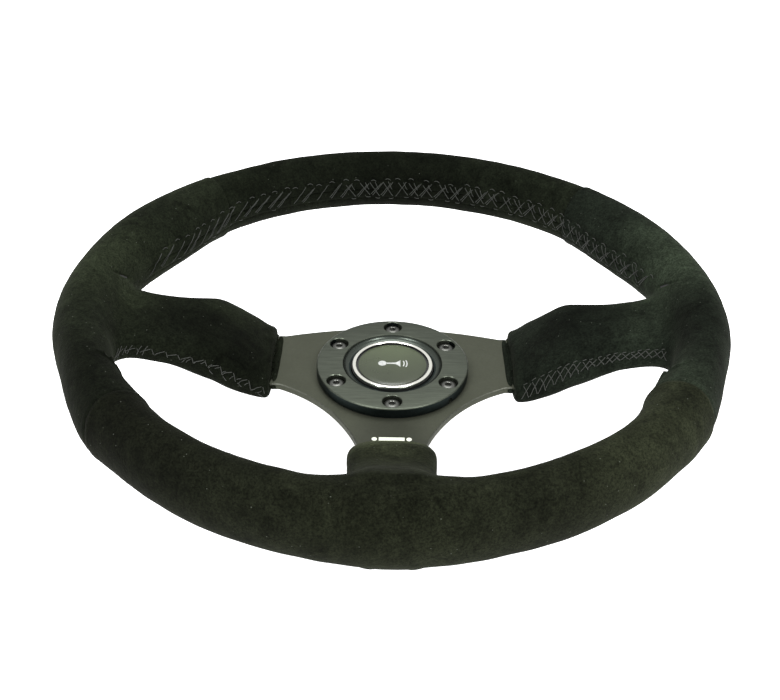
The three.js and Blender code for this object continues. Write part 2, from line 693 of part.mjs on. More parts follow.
// Moving and fixed contacts, the return spring and the two spade terminals.
function buildContacts() {
  const plateTop = CONTACT_PLATE_Z + CONTACT.thickness;
  const radii = [CONTACT.inner, CONTACT.outer];
  addPart('contact_plate', washer(...radii, CONTACT_PLATE_Z, plateTop, SIDES.contact), BRASS());
  const ringBottom = FLOOR_TOP_Z + GAP;
  const ringTop = ringBottom + CONTACT.thickness;
  const ring = solid(washer(...radii, ringBottom, ringTop, SIDES.contact));
  const pinHole = bore(HOT_PIN.radius + GAP, ringBottom, ringTop, onCircle(HOT_PIN.x, 0, 0), SIDES.screw);
  addPart('contact_ring', geometryOf(ring.subtract(pinHole)), BRASS());

  const seatBottom = FLOOR_TOP_Z + GAP;
  const tail = BARREL.bottom - GAP - TERMINAL.thickness - GAP;
  const seat = [
    [0, tail - SEAT.headHeight],
    [SEAT.head, tail - SEAT.headHeight],
    [SEAT.head, tail],
    [SEAT.stem, tail],
    [SEAT.stem, seatBottom],
    [SEAT.radius, seatBottom],
    [SEAT.radius, seatBottom + SEAT.thickness],
    [SEAT.domeFoot, seatBottom + SEAT.thickness],
    [SEAT.dome, seatBottom + SEAT.domeHeight],
    [0, seatBottom + SEAT.domeHeight],
  ];
  addPart('spring_seat', lathe(seat, SIDES.screw), STEEL());
  buildSpring(seatBottom + SEAT.thickness + GAP, CAP_SHELF_Z - CAP.ceiling - GAP);

  const pin = [
    [0, tail - HOT_PIN.headHeight],
    [HOT_PIN.head, tail - HOT_PIN.headHeight],
    [HOT_PIN.head, tail],
    [HOT_PIN.radius, tail],
    [HOT_PIN.radius, ringTop],
    [0, ringTop],
  ];
  addPart('hot_pin', lathe(pin, SIDES.screw), BRASS()).position.x = HOT_PIN.x;
  buildTerminal('hot_terminal', HOT_PIN.x, HOT_PIN.radius + GAP, 1);
  buildTerminal('ground_terminal', 0, SEAT.stem + GAP, -1);
}

function buildSpring(bottom, top) {
  class Helix extends THREE.Curve {
    getPoint(u, target = new THREE.Vector3()) {
      const turn = 2 * Math.PI * SPRING.turns * u;
      const low = bottom + SPRING.wire;
      const z = low + (top - bottom - 2 * SPRING.wire) * u;
      return target.set(SPRING.radius * Math.cos(turn), SPRING.radius * Math.sin(turn), z);
    }
  }
  const wire = new THREE.Shape();
  wire.absarc(0, 0, SPRING.wire, 0, 2 * Math.PI);
  const coil = new THREE.ExtrudeGeometry(wire, {
    extrudePath: new Helix(),
    steps: SPRING.turns * 10,
    curveSegments: 3,
    bevelEnabled: false,
  });
  addPart('horn_spring', coil, STEEL());
}

// A spade terminal bent down from a washer under the housing's floor.
function buildTerminal(name, x, holeRadius, side) {
  const { width, depth, thickness, length, offset } = TERMINAL;
  const top = BARREL.bottom - GAP;
  const foot = solid(block(width, depth, thickness, x, side * offset, top - thickness / 2));
  const tabY = side * (offset + depth / 2 - thickness / 2);
  const tab = solid(block(width, thickness, length, x, tabY, top - length / 2));
  const hole = bore(holeRadius, top - thickness, top, onCircle(x, 0, 0), SIDES.screw);
  addPart(name, geometryOf(foot.add(tab).subtract(hole)), BRASS());
}

buildSpokePlate();
buildHoop();
buildRivets();
buildFoam();
buildSuede();
buildRing();
buildScrews();
buildGrubScrew();
buildHousing();
buildCap();
buildTrim();
buildContacts();

export default wheel;
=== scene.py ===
import math

import bmesh
import bpy
import numpy as np
from mathutils import Matrix, Vector


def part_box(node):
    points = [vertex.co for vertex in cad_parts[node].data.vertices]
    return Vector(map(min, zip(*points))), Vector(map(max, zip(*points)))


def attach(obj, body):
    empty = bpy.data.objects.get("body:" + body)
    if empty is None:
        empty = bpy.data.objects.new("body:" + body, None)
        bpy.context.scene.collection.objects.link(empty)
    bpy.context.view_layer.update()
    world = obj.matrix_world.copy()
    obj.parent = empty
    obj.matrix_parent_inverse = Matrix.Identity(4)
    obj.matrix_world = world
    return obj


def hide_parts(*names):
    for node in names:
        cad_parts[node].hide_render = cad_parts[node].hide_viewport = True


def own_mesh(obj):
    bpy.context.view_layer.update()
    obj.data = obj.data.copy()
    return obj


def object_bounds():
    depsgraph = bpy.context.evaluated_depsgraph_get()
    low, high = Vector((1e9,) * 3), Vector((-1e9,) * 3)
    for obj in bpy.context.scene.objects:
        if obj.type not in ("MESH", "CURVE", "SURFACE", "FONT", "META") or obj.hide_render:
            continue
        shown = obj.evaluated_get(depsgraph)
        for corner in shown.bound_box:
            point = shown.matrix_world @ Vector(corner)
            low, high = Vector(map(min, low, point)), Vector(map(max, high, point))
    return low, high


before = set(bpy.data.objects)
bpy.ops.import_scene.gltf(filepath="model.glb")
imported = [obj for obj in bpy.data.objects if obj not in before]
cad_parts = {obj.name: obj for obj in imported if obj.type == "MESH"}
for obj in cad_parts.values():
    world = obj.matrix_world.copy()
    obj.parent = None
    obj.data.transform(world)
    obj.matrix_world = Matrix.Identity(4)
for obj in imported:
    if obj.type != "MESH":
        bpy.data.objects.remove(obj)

# Lengths below are in millimetres, as in the CAD source, and MM turns them into Blender's metres.
MM = 0.001
cad_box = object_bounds()
random = np.random.default_rng(7)


# ---- Camera ----
FOCAL_LENGTH = 47.17  # mm, on a 36 mm sensor
CAMERA_ELEVATION = math.radians(35.01)
CAMERA_YAW = math.radians(0.25)
CAMERA_ROLL = math.radians(1.14)
CAMERA_DISTANCE = 566.3  # from the middle of the hub ring's face
CAMERA_OFFSET = (1.37, -6.8)  # the ring's middle from the middle of the view, to the right and up
RING_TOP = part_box("horn_ring")[1].z / MM


def make_camera():
    e = CAMERA_ELEVATION
    c, s = math.cos(CAMERA_ROLL), math.sin(CAMERA_ROLL)
    ox, oy = CAMERA_OFFSET
    right = Vector((1, 0, 0))
    up = Vector((0, math.sin(e), math.cos(e)))
    forward = Vector((0, math.cos(e), -math.sin(e)))
    place = right * -(c * ox - s * oy) - up * (s * ox + c * oy) - forward * CAMERA_DISTANCE
    axes = Matrix((right * c + up * s, up * c - right * s, -forward)).transposed()
    turn = Matrix.Rotation(-CAMERA_YAW, 3, "Z")
    data = bpy.data.cameras.new("camera")
    data.lens = FOCAL_LENGTH
    data.clip_start = 0.01
    camera = bpy.data.objects.new("camera", data)
    position = (turn @ place + Vector((0, 0, RING_TOP))) * MM
    camera.matrix_world = Matrix.Translation(position) @ (turn @ axes).to_4x4()
    bpy.context.scene.collection.objects.link(camera)
    bpy.context.scene.camera = camera


make_camera()


# ---- Small maths ----
def clamp01(x):
    return np.clip(x, 0.0, 1.0)


def smoothstep(x):
    x = clamp01(x)
    return x * x * (3 - 2 * x)


def bump_curve(x, width):
    return np.exp(-((x / width) ** 2))


def smooth_min(a, b, radius):
    h = np.maximum(radius - np.abs(a - b), 0.0) / radius
    return np.minimum(a, b) - h * h * radius / 4


def smooth_max(a, b, radius):
    return -smooth_min(-a, -b, radius)


def round_axis(p):
    """Each point's angle in degrees about the wheel's axis and its distance from the axis."""
    return np.degrees(np.arctan2(p[:, 1], p[:, 0])), np.hypot(p[:, 0], p[:, 1])


# ---- The suede's outer surface, as a distance field in millimetres ----
RIM_RADIUS = 161.0
RIM_HALF_WIDTH = 14.0
RIM_HALF_HEIGHT = 19.2
RIM_Z = 45.0
TOP_THINNING = 0.9
SEAMS = {"upper_right": 44.5, "upper_left": 134.0, "lower_left": 219.0, "lower_right": 327.0}
PLATE_THICKNESS = 4.0
SLEEVE_END = 158.0
FLAT_END = 66.0
ARM_END = 169.0
SUEDE_THICKNESS = 1.2
SKIN_GAP = 0.3
FOAM_TUCK = 3.4  # how far the foam ends behind a sleeve's hem
CORNER = 0.72  # power of the cosine and sine in a sleeve's section: 1 is an ellipse, less is squarer
SQUARENESS = 2 / CORNER
HUB_END_LIFT = 2.6
ARM_SLANT = 0.0125


class Arm:
    """An arm's own frame: s runs outwards from the wheel's axis, t across it.

    The plate and the sleeve are given by their half widths, and the sleeve by where its hem starts and ends.
    """

    def __init__(self, out, side, shift, plate, sleeve, start, hem_end):
        self.out = np.array(out, float)
        self.side = np.array(side, float)
        self.shift = shift
        self.plate = plate
        self.sleeve = sleeve
        self.start = start
        self.hem_end = hem_end

    def local(self, p):
        return p[:, :2] @ self.out, p[:, :2] @ self.side, p[:, 2]

    def place(self, s, t, z):
        s, t, z = np.broadcast_arrays(np.asarray(s, float), t, z)
        return np.column_stack([np.outer(s.ravel(), self.out) + np.outer(t.ravel(), self.side), z.ravel()])

    def middle(self, s):
        """How far the arm's middle line lies to its side; a side arm starts higher and slants down."""
        lift = HUB_END_LIFT * (1 - smoothstep((s - self.start) / 30)) if self.shift else 0.0
        return self.shift * (1 - ARM_SLANT * (s - 65)) + lift


ARMS = {
    "right": Arm((1, 0), (0, 1), 7.5, 23.5, 28.6, 63.0, 66.4),
    "left": Arm((-1, 0), (0, 1), 7.5, 23.5, 28.6, 63.0, 66.4),
    "lower": Arm((0, -1), (1, 0), 0.0, 18.0, 21.0, 65.5, 66.0),
}


def arm_bend(d):
    return np.where(d < -4, 0.0, np.where(d > 4, d, (d + 4) ** 2 / 16))


def arm_height(s):
    """Height of an arm's middle layer: flat, steep, shallow, then level inside the rim."""
    steep, shallow = math.tan(math.radians(38)), math.tan(math.radians(13))
    rise = steep * arm_bend(s - 70)
    easing = (steep - shallow) * arm_bend(s - 96)
    return PLATE_THICKNESS / 2 + rise - easing - shallow * arm_bend(s - 148)


def sleeve_section(arm, s):
    """A sleeve's section: half width, heights above and below its middle, and its middle's height."""
    if arm.shift:
        # A narrow hem, then the padding rises at once. The foam fills the bend from below.
        into = clamp01((s - arm.hem_end) / 3.2)
        swelling = 0.86 * np.sqrt(1 - (1 - into) ** 2) + 0.14 * smoothstep((s - arm.hem_end) / 12)
        hem, hem_height, slimming = 1.2, 3.7, 3.5
        filling = 5.6 * bump_curve(s - 95, 18) * smoothstep((s - arm.hem_end) / 4)
    else:
        swelling = clamp01((s - arm.hem_end) / 8) ** 0.6
        hem, hem_height, slimming = 1.6, 4.0, 0.7
        filling = 0.0
    slimming = slimming * clamp01((s - 100) / 20)
    flare = 4.5 * clamp01((s - 132) / 15) ** 2 if arm.shift else 7 * clamp01((s - 126) / 20) ** 2
    half_width = arm.plate + hem + (arm.sleeve - arm.plate - hem) * swelling - slimming + flare
    above = hem_height + (10.2 - hem_height) * swelling
    if arm.shift:
        above += 2.6 * bump_curve(s - 85, 20) * swelling - 2 * clamp01((s - 142) / 16)
    else:
        above += 9 * smoothstep((s - 108) / 32)
    return half_width, above, above + filling, arm_height(s) + 0.6 * swelling


def arm_distance(p, arm):
    s, t, z = arm.local(p)

    def level(s, t, z):
        inside = np.clip(s, arm.start, SLEEVE_END)
        half_width, above, below, height = sleeve_section(arm, inside)
        across = np.abs((t - arm.middle(inside)) / half_width)
        up = np.abs((z - height) / np.where(z > height, above, below))
        return (across**SQUARENESS + up**SQUARENESS + 1e-9) ** (1 / SQUARENESS)

    step = 0.4
    squares = 0
    for ds, dt, dz in step * np.eye(3):
        change = level(s + ds, t + dt, z + dz) - level(s - ds, t - dt, z - dz)
        squares = squares + (change / (2 * step)) ** 2
    distance = (level(s, t, z) - 1) / (np.sqrt(squares) + 1e-6)
    distance = np.maximum(distance, s - SLEEVE_END)
    return smooth_max(distance, arm.start - s, 2.4)


# Where the rim is fuller or slimmer: by how much, at what angle round it, and how far it spreads.
LEFT_GRIP = [(1.0, 158, 24)]
OUTER_SWELLINGS = [
    (2.5, 158, 24), (1.0, 182, 14), (0.8, 28, 20),
    (-1.6, 202, 7), (1.8, 218, 5), (1.1, 323, 4), (-2.4, 339, 8),
]
INNER_SWELLINGS = [(2.4, 218, 8), (4.4, 328, 8)]
BOTTOM_BULGE = [(2.0, 270, 10)]
THUMB_RESTS = [(8.4, 31, 13)]  # beside both side sleeves


def swelling_at(angle, swellings):
    return sum(height * bump_curve(angle - place, spread) for height, place, spread in swellings)


def rim_section(angle):
    """The rim's section at an angle in degrees: outwards, inwards, up and down from its middle."""
    folded = np.degrees(np.arcsin(np.sin(np.radians(angle))))
    turned = np.mod(angle, 360)
    into_top = np.minimum(turned - SEAMS["upper_right"], SEAMS["upper_left"] - turned)
    thinning = TOP_THINNING * smoothstep((into_top + 0.25) / 0.5)
    outer = RIM_HALF_WIDTH - thinning + swelling_at(turned, OUTER_SWELLINGS)
    inner = RIM_HALF_WIDTH - thinning + swelling_at(turned, INNER_SWELLINGS)
    inner += swelling_at(folded, THUMB_RESTS)
    above = RIM_HALF_HEIGHT - thinning + swelling_at(turned, LEFT_GRIP)
    return outer, inner, above, above + swelling_at(turned, BOTTOM_BULGE)


def rim_distance(p):
    angle, radius = round_axis(p)
    outer, inner, above, below = rim_section(angle)
    u = radius - RIM_RADIUS
    w = p[:, 2] - RIM_Z
    half_width = np.where(u < 0, inner, outer)
    half_height = np.where(w > 0, above, below)
    level = np.sqrt((u / half_width) ** 2 + (w / half_height) ** 2) + 1e-6
    slope = np.sqrt((u / half_width**2) ** 2 + (w / half_height**2) ** 2) / level + 1e-6
    return (level - 1) / slope


def fillet_radius(p, arm):
    """How softly a sleeve runs into the rim.

    A side sleeve's fillet is widest under it and a tight fold at its upper corner.
    """
    s, t, _ = arm.local(p)
    across = (t - arm.middle(s)) / arm.sleeve
    edge = smoothstep((np.abs(across) - 0.45) / 0.5)
    if arm.shift:
        radius = 9 + np.where(across < 0, 4 * edge, -6 * edge)
    else:
        radius = 26 - 7 * edge
    inner_half = clamp01((165 - round_axis(p)[1]) / 12)
    return radius * inner_half + 0.01


def suede_distance(p):
    """Distance from the leather's smooth outer surface, negative inside it."""
    distance = rim_distance(p)
    for arm in ARMS.values():
        distance = smooth_min(distance, arm_distance(p, arm), fillet_radius(p, arm))
    return distance


def field_gradient(p, field):
    step = 0.05
    here = field(p)
    slopes = []
    for axis in range(3):
        moved = p.copy()
        moved[:, axis] += step
        slopes.append((field(moved) - here) / step)
    return here, np.column_stack(slopes)


def onto_surface(p, field=suede_distance, rounds=3):
    """Moves points along the field's slope to where it is zero; returns them with their normals."""
    for _ in range(rounds):
        here, slope = field_gradient(p, field)
        size = np.sum(slope**2, axis=1) + 1e-9
        step = np.clip(here / np.sqrt(size), -3, 3)
        p = p - slope / np.sqrt(size)[:, None] * step[:, None]
    _, slope = field_gradient(p, field)
    normal = slope / (np.linalg.norm(slope, axis=1)[:, None] + 1e-9)
    return p, normal


# ---- Mesh helpers ----
def new_object(name, verts, faces, smooth_angle=None):
    mesh = bpy.data.meshes.new(name)
    mesh.from_pydata((np.asarray(verts, float) * MM).tolist(), [], faces)
    mesh.update()
    obj = bpy.data.objects.new(name, mesh)
    bpy.context.scene.collection.objects.link(obj)
    if smooth_angle is not None:
        shade(obj, smooth_angle)
    return obj


def shade(obj, angle=30):
    obj.data.polygons.foreach_set("use_smooth", [True] * len(obj.data.polygons))
    obj.data.set_sharp_from_angle(angle=math.radians(angle))


def apply_modifiers(obj):
    bpy.context.view_layer.update()
    evaluated = obj.evaluated_get(bpy.context.evaluated_depsgraph_get())
    mesh = bpy.data.meshes.new_from_object(evaluated)
    obj.modifiers.clear()
    old = obj.data
    obj.data = mesh
    bpy.data.meshes.remove(old)
    return obj


def combine(obj, tools, operation="DIFFERENCE", keep=False):
    """Cuts tools out of an object, or joins or intersects them; the tools are used up unless kept."""
    for tool in tools:
        modifier = obj.modifiers.new("combine", "BOOLEAN")
        modifier.operation = operation
        modifier.solver = "MANIFOLD"
        modifier.object = tool
    apply_modifiers(obj)
    if not keep:
        for tool in tools:
            remove(tool)
    return obj


def remove(obj):
    mesh = obj.data
    bpy.data.objects.remove(obj)
    bpy.data.meshes.remove(mesh)


def ring_faces(rows, sides, closed_rows=False):
    """Quads between neighbouring rings of points, with caps unless the last ring meets the first."""
    i = np.arange(rows if closed_rows else rows - 1)[:, None]
    j = np.arange(sides)[None, :]
    here, above = i * sides, ((i + 1) % rows) * sides
    along = (j + 1) % sides
    faces = np.stack([here + j, here + along, above + along, above + j], axis=-1).reshape(-1, 4).tolist()
    if not closed_rows:
        faces.append(list(range(sides))[::-1])
        faces.append([(rows - 1) * sides + k for k in range(sides)])
    return faces


def loft(name, rings, closed_rows=False):
    return new_object(name, np.concatenate(rings), ring_faces(len(rings), len(rings[0]), closed_rows))


def edit_mesh(obj, change):
    bm = bmesh.new()
    bm.from_mesh(obj.data)
    change(bm)
    bm.to_mesh(obj.data)
    bm.free()
    return obj


def face_outwards(obj):
    def change(bm):
        bmesh.ops.recalc_face_normals(bm, faces=bm.faces)
        if bm.calc_volume(signed=True) < 0:
            bmesh.ops.reverse_faces(bm, faces=bm.faces)

    return edit_mesh(obj, change)


def arc(centre, radii, start, end, count):
    """Points on an ellipse from one angle to another in degrees."""
    angles = np.radians(np.linspace(start, end, count))
    return [(centre[0] + radii[0] * math.cos(a), centre[1] + radii[1] * math.sin(a)) for a in angles]


def lathe(name, outline, segments=96, smooth_angle=30):
    """Turns a [radius, height] outline about the Z axis. Points on the axis become one vertex."""
    angles = 2 * np.pi * np.arange(segments) / segments
    verts, rows = [], []
    for r, z in outline:
        if r < 1e-6:
            rows.append([len(verts)])
            verts.append((0.0, 0.0, z))
        else:
            rows.append(list(range(len(verts), len(verts) + segments)))
            verts.extend((r * math.cos(a), r * math.sin(a), z) for a in angles)
    faces = []
    if outline[0] == outline[-1]:
        rows[-1] = rows[0]
        verts = verts[:-segments]
    for low, high in zip(rows[:-1], rows[1:]):
        for j in range(segments):
            k = (j + 1) % segments
            corner = [low[j % len(low)], low[k % len(low)], high[k % len(high)], high[j % len(high)]]
            face = list(dict.fromkeys(corner))
            if len(face) > 2:
                faces.append(face)
    obj = face_outwards(new_object(name, verts, faces))
    shade(obj, smooth_angle)
    return obj


def cylinder(name, radius, low, high, segments=32, centre=(0, 0)):
    obj = lathe(name, [(0, low), (radius, low), (radius, high), (0, high)], segments)
    move(obj, (centre[0], centre[1], 0))
    return obj


def move(obj, offset, turn=None):
    matrix = Matrix.Translation(Vector(offset) * MM)
    if turn is not None:
        matrix = matrix @ turn
    obj.data.transform(matrix)
    return obj


def points_of(obj):
    co = np.zeros(len(obj.data.vertices) * 3)
    obj.data.vertices.foreach_get("co", co)
    return co.reshape(-1, 3) / MM


def set_points(obj, points):
    obj.data.vertices.foreach_set("co", (points * MM).ravel())
    obj.data.update()


# ---- Materials ----
def put(tree, socket, value):
    """Links an output to a socket, or sets the socket to a plain value."""
    if isinstance(value, bpy.types.NodeSocket):
        tree.links.new(value, socket)
    else:
        socket.default_value = value


def feed(tree, node, **inputs):
    """Puts values or outputs into a node's inputs by name; an underscore stands for a space."""
    for name, value in inputs.items():
        put(tree, node.inputs[name.replace("_", " ")], value)
    return node


def add_node(tree, kind, **inputs):
    return feed(tree, tree.nodes.new("ShaderNode" + kind), **inputs)


def new_material(name, **inputs):
    material = bpy.data.materials.new(name)
    material.use_nodes = True
    tree = material.node_tree
    return material, tree, feed(tree, tree.nodes["Principled BSDF"], **inputs)


def own_place(tree):
    return add_node(tree, "TexCoord").outputs["Object"]


def noise(tree, scale, detail=4.0, roughness=0.55, stretch=(1, 1, 1), offset=(0, 0, 0), distortion=0.0):
    """A noise texture in the object's own metres; scale counts features per metre."""
    mapping = add_node(tree, "Mapping", Vector=own_place(tree), Scale=stretch, Location=offset)
    texture = add_node(tree, "TexNoise", Vector=mapping.outputs["Vector"], Scale=scale, Detail=detail,
                       Roughness=roughness, Distortion=distortion)
    return texture.outputs["Fac"]


def ramp(tree, value, stops):
    """Maps a value through stops of (position, grey level)."""
    node = add_node(tree, "ValToRGB", Fac=value)
    elements = node.color_ramp.elements
    while len(elements) < len(stops):
        elements.new(0.5)
    for element, (position, level) in zip(elements, stops):
        element.position = position
        element.color = (level, level, level, 1)
    return node.outputs["Color"]


def specks(tree, scale, size):
    """1 in small dots scattered one to a cell, 0 elsewhere."""
    cells = add_node(tree, "TexVoronoi", Vector=own_place(tree), Scale=scale)
    return ramp(tree, cells.outputs["Distance"], [(size, 1.0), (size * 1.8, 0.0)])


def mix(tree, a, b, share, kind="MIX"):
    """Mixes two colours, each an output or three numbers."""
    node = add_node(tree, "Mix", Factor=share)
    node.data_type = "RGBA"
    node.blend_type = kind
    for socket, value in zip([i for i in node.inputs if i.type == "RGBA"], (a, b)):
        put(tree, socket, (*value, 1) if isinstance(value, tuple) else value)
    return [o for o in node.outputs if o.type == "RGBA"][0]


def maths(tree, kind, a, b):
    node = add_node(tree, "Math")
    node.operation = kind
    put(tree, node.inputs[0], a)
    put(tree, node.inputs[1], b)
    return node.outputs[0]


def bumps(tree, shader, layers):
    """Stacks bump maps: each layer is (height, strength, distance in millimetres)."""
    below = {}
    for height, strength, distance in layers:
        node = add_node(tree, "Bump", Height=height, Strength=strength, Distance=distance * MM, **below)
        below = {"Normal": node.outputs["Normal"]}
    feed(tree, shader, **below)


def near(tree, centre, radius):
    """1 at a place on the object, in millimetres, falling softly to 0 at a distance from it."""
    away = add_node(tree, "VectorMath")
    away.operation = "DISTANCE"
    put(tree, away.inputs[0], own_place(tree))
    put(tree, away.inputs[1], [c * MM for c in centre])
    share = maths(tree, "DIVIDE", away.outputs["Value"], radius * MM)
    return ramp(tree, share, [(0.0, 1.0), (0.45, 0.62), (0.8, 0.1), (1.0, 0.0)])


def patched(tree, base, tone, places):
    """Multiplies a colour by a tone round each place given as (x, y, z, reach, amount)."""
    for x, y, z, reach, amount in places:
        share = maths(tree, "MULTIPLY", near(tree, (x, y, z), reach), amount)
        base = mix(tree, base, tone, share, "MULTIPLY")
    return base


# Painted shade and painted light on the suede, at places darkened for shade and lightened for light:
# the place in millimetres, how far it reaches, and how strong it is.
PAINTED_SHADE_PLACES = [
    (0, 165, 55, 120, 0.75), (-118, 2, 42, 48, 0.8), (-84, -6, 26, 44, 0.85),
    (105, 18, 40, 52, 0.75), (-118, -118, 62, 70, 0.7), (-20, -158, 64, 55, 0.5),
    (152, -20, 62, 34, 0.7), (-140, -75, 60, 40, 0.5), (-92, 132, 62, 60, 0.35),
]
PAINTED_LIGHT_PLACES = [
    (-172, 20, 52, 66, 1.0), (-125, 118, 60, 60, 0.3), (165, 30, 60, 70, 1.0),
    (118, -118, 58, 80, 0.7), (0, -176, 40, 75, 0.5), (0, -78, 20, 34, 1.0),
    (0, -84, 24, 40, 1.0), (-84, 26, 38, 30, 1.0), (125, -10, 46, 22, 0.3),
]
PAINTED_SHADE_TONE = (0.22, 0.22, 0.22)
PAINTED_LIGHT_TONE = (2.3, 2.3, 2.15)
DUST = (0.10, 0.11, 0.09)


def suede_material(name, dark, light, seed):
    """Napped leather: large brushed patches, clumps of nap, short fibres and specks of dust."""
    material, tree, shader = new_material(name, Roughness=0.95, Specular_IOR_Level=0.035)
    feed(tree, shader, Sheen_Weight=0.028, Sheen_Roughness=0.4, Sheen_Tint=(0.62, 0.66, 0.50, 1))
    shift = (seed, seed * 0.7, -seed)
    patches = noise(tree, 16, 4, 0.6, offset=shift, distortion=0.8)
    strokes = noise(tree, 60, 5, 0.65, stretch=(1, 1, 0.45), offset=shift, distortion=1.4)
    clumps = noise(tree, 330, 4, 0.65, offset=shift, distortion=0.4)
    nap = noise(tree, 950, 3, 0.7, offset=shift)
    fibre = noise(tree, 2600, 2, 0.7, offset=shift)
    brushed = ramp(tree, maths(tree, "MULTIPLY", patches, strokes), [(0.15, 0.0), (0.42, 1.0)])
    middle = tuple(a * 0.66 + b * 0.34 for a, b in zip(dark, light))
    base = mix(tree, dark, middle, ramp(tree, clumps, [(0.32, 0.1), (0.74, 1.0)]))
    raised = maths(tree, "MULTIPLY", brushed, ramp(tree, clumps, [(0.2, 0.6), (0.7, 1.0)]))
    base = mix(tree, base, light, raised)
    # Painted shade and painted light: the suede's colour is darkened and lightened at the listed places.
    base = patched(tree, base, PAINTED_SHADE_TONE, PAINTED_SHADE_PLACES)
    base = patched(tree, base, PAINTED_LIGHT_TONE, PAINTED_LIGHT_PLACES)
    base = mix(tree, base, (0.42, 0.42, 0.42), ramp(tree, nap, [(0.36, 1.0), (0.6, 0.0)]), "MULTIPLY")
    base = mix(tree, base, (0.5, 0.5, 0.5), ramp(tree, fibre, [(0.35, 0.6), (0.6, 0.0)]), "MULTIPLY")
    base = mix(tree, base, DUST, maths(tree, "MULTIPLY", specks(tree, 210, 0.035), 0.7))
    feed(tree, shader, Base_Color=base)
    bumps(tree, shader, [(strokes, 0.35, 0.8), (clumps, 0.55, 0.5), (nap, 0.6, 0.25), (fibre, 0.5, 0.1)])
    return material


def metal_material(name, colour, roughness, metallic=1.0, grain=(1, 1, 1), grain_scale=900, wear=0.25,
                   patch=None):
    """Metal with fine grain and cloudy wear; a patch is (tone, places)."""
    material, tree, shader = new_material(name, Metallic=metallic)
    clouds = noise(tree, 40, 4)
    lines = noise(tree, grain_scale, 5, 0.7, stretch=grain)
    darker = tuple(c * (1 - wear) for c in colour)
    lighter = tuple(min(1.0, c * (1 + wear)) for c in colour)
    base = mix(tree, darker, lighter, ramp(tree, lines, [(0.3, 0.0), (0.7, 1.0)]))
    base = mix(tree, base, darker, maths(tree, "MULTIPLY", clouds, 0.5))
    if patch:
        base = patched(tree, base, *patch)
    low, high = roughness * 0.8, min(1.0, roughness * 1.25)
    worn = maths(tree, "ADD", clouds, maths(tree, "MULTIPLY", lines, 0.3))
    feed(tree, shader, Base_Color=base, Roughness=ramp(tree, worn, [(0.35, low), (0.9, high)]))
    bumps(tree, shader, [(lines, 0.12, 0.05)])
    return material


def plastic_material(name, colour, roughness, coat=0.0, patch=None):
    """Plastic, thread or lacquer with soft clouds; a patch is (tone, places)."""
    material, tree, shader = new_material(name, Coat_Weight=coat, Coat_Roughness=0.05)
    clouds = noise(tree, 60, 4)
    grain = noise(tree, 1800, 3, 0.6)
    lighter = tuple(min(1.0, c * 1.5 + 0.002) for c in colour)
    base = mix(tree, colour, lighter, clouds)
    if patch:
        base = patched(tree, base, *patch)
    worn = ramp(tree, clouds, [(0.3, roughness * 0.85), (0.7, roughness * 1.15)])
    feed(tree, shader, Base_Color=base, Roughness=worn)
    bumps(tree, shader, [(grain, 0.08, 0.03)])
    return material


SUEDE_DARK = (0.0030, 0.0040, 0.0022)
SUEDE_LIGHT = (0.0200, 0.0254, 0.0148)
# Painted shade: the plate's colour is darkened round its lower spoke, by the bottom sleeve's collar.
PLATE_PAINTED_SHADE = ((0.5, 0.5, 0.5), [(0, -62, 4, 34, 1.0)])
# Painted reflection: the centre disc's colour is lightened towards its far side.
DISC_PAINTED_REFLECTION = ((2.4, 2.4, 2.4), [(0, 26, 9, 44, 1.0)])
SUEDES = {
    "suede": (SUEDE_DARK, SUEDE_LIGHT, 0.0),
    "suede_left": (SUEDE_DARK, SUEDE_LIGHT, 0.37),
    "suede_right": ((0.0036, 0.0048, 0.0033), (0.0215, 0.0290, 0.0195), 0.81),
    "suede_bottom": ((0.0037, 0.0044, 0.0025), (0.0218, 0.0254, 0.0145), 1.3),
}
METALS = {
    "anodised_plate": ((0.064, 0.069, 0.049), 0.6, dict(metallic=0.75, wear=0.16, patch=PLATE_PAINTED_SHADE)),
    # The chamfers: lighter metal for edge wear and a painted highlight along the edges.
    "plate_edge": ((0.11, 0.115, 0.095), 0.45, dict(metallic=0.9, wear=0.5)),
    "anodised_ring": ((0.088, 0.100, 0.078), 0.36,
                      dict(metallic=0.9, grain=(0.05, 1.4, 1.4), grain_scale=1500, wear=0.4)),
    "steel": ((0.42, 0.43, 0.44), 0.38, {}),
    "black_steel": ((0.115, 0.118, 0.108), 0.3, dict(metallic=0.9)),
    "chrome": ((0.92, 0.92, 0.84), 0.14, dict(wear=0.06)),
    # The bevel: the ring's own metal, darkened as painted shade and made glossier.
    "ring_bevel": ((0.056, 0.066, 0.056), 0.26, dict(metallic=0.9, wear=0.1)),
    # The ring's own metal, darkened as painted shade for its outer side and its inner wall.
    "ring_side": ((0.019, 0.026, 0.025), 0.5, dict(wear=0.3)),
    "brass": ((0.60, 0.42, 0.16), 0.35, {}),
    "silver_print": ((0.62, 0.64, 0.62), 0.35, dict(metallic=0.6)),
}
PLASTICS = {
    "foam": ((0.02, 0.02, 0.02), 0.9, {}),
    "thread": ((0.015, 0.017, 0.013), 0.7, {}),
    "black_plastic": ((0.008, 0.009, 0.008), 0.45, {}),
    "gloss_black": ((0.018, 0.024, 0.010), 0.3, dict(coat=0.25, patch=DISC_PAINTED_REFLECTION)),
    "white_print": ((0.50, 0.52, 0.44), 0.5, {}),
}
MATERIALS = {name: suede_material(name, *look) for name, look in SUEDES.items()}
for make, looks in ((metal_material, METALS), (plastic_material, PLASTICS)):
    for name, (colour, roughness, more) in looks.items():
        MATERIALS[name] = make(name, colour, roughness, **more)


def seat(obj, material, body="wheel", replaces=()):
    """Gives a piece its material, slot and body, and hides the CAD nodes that it stands for."""
    obj.data.materials.clear()
    obj.data.materials.append(MATERIALS[material])
    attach(obj, body)
    if replaces:
        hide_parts(*replaces)
    return obj


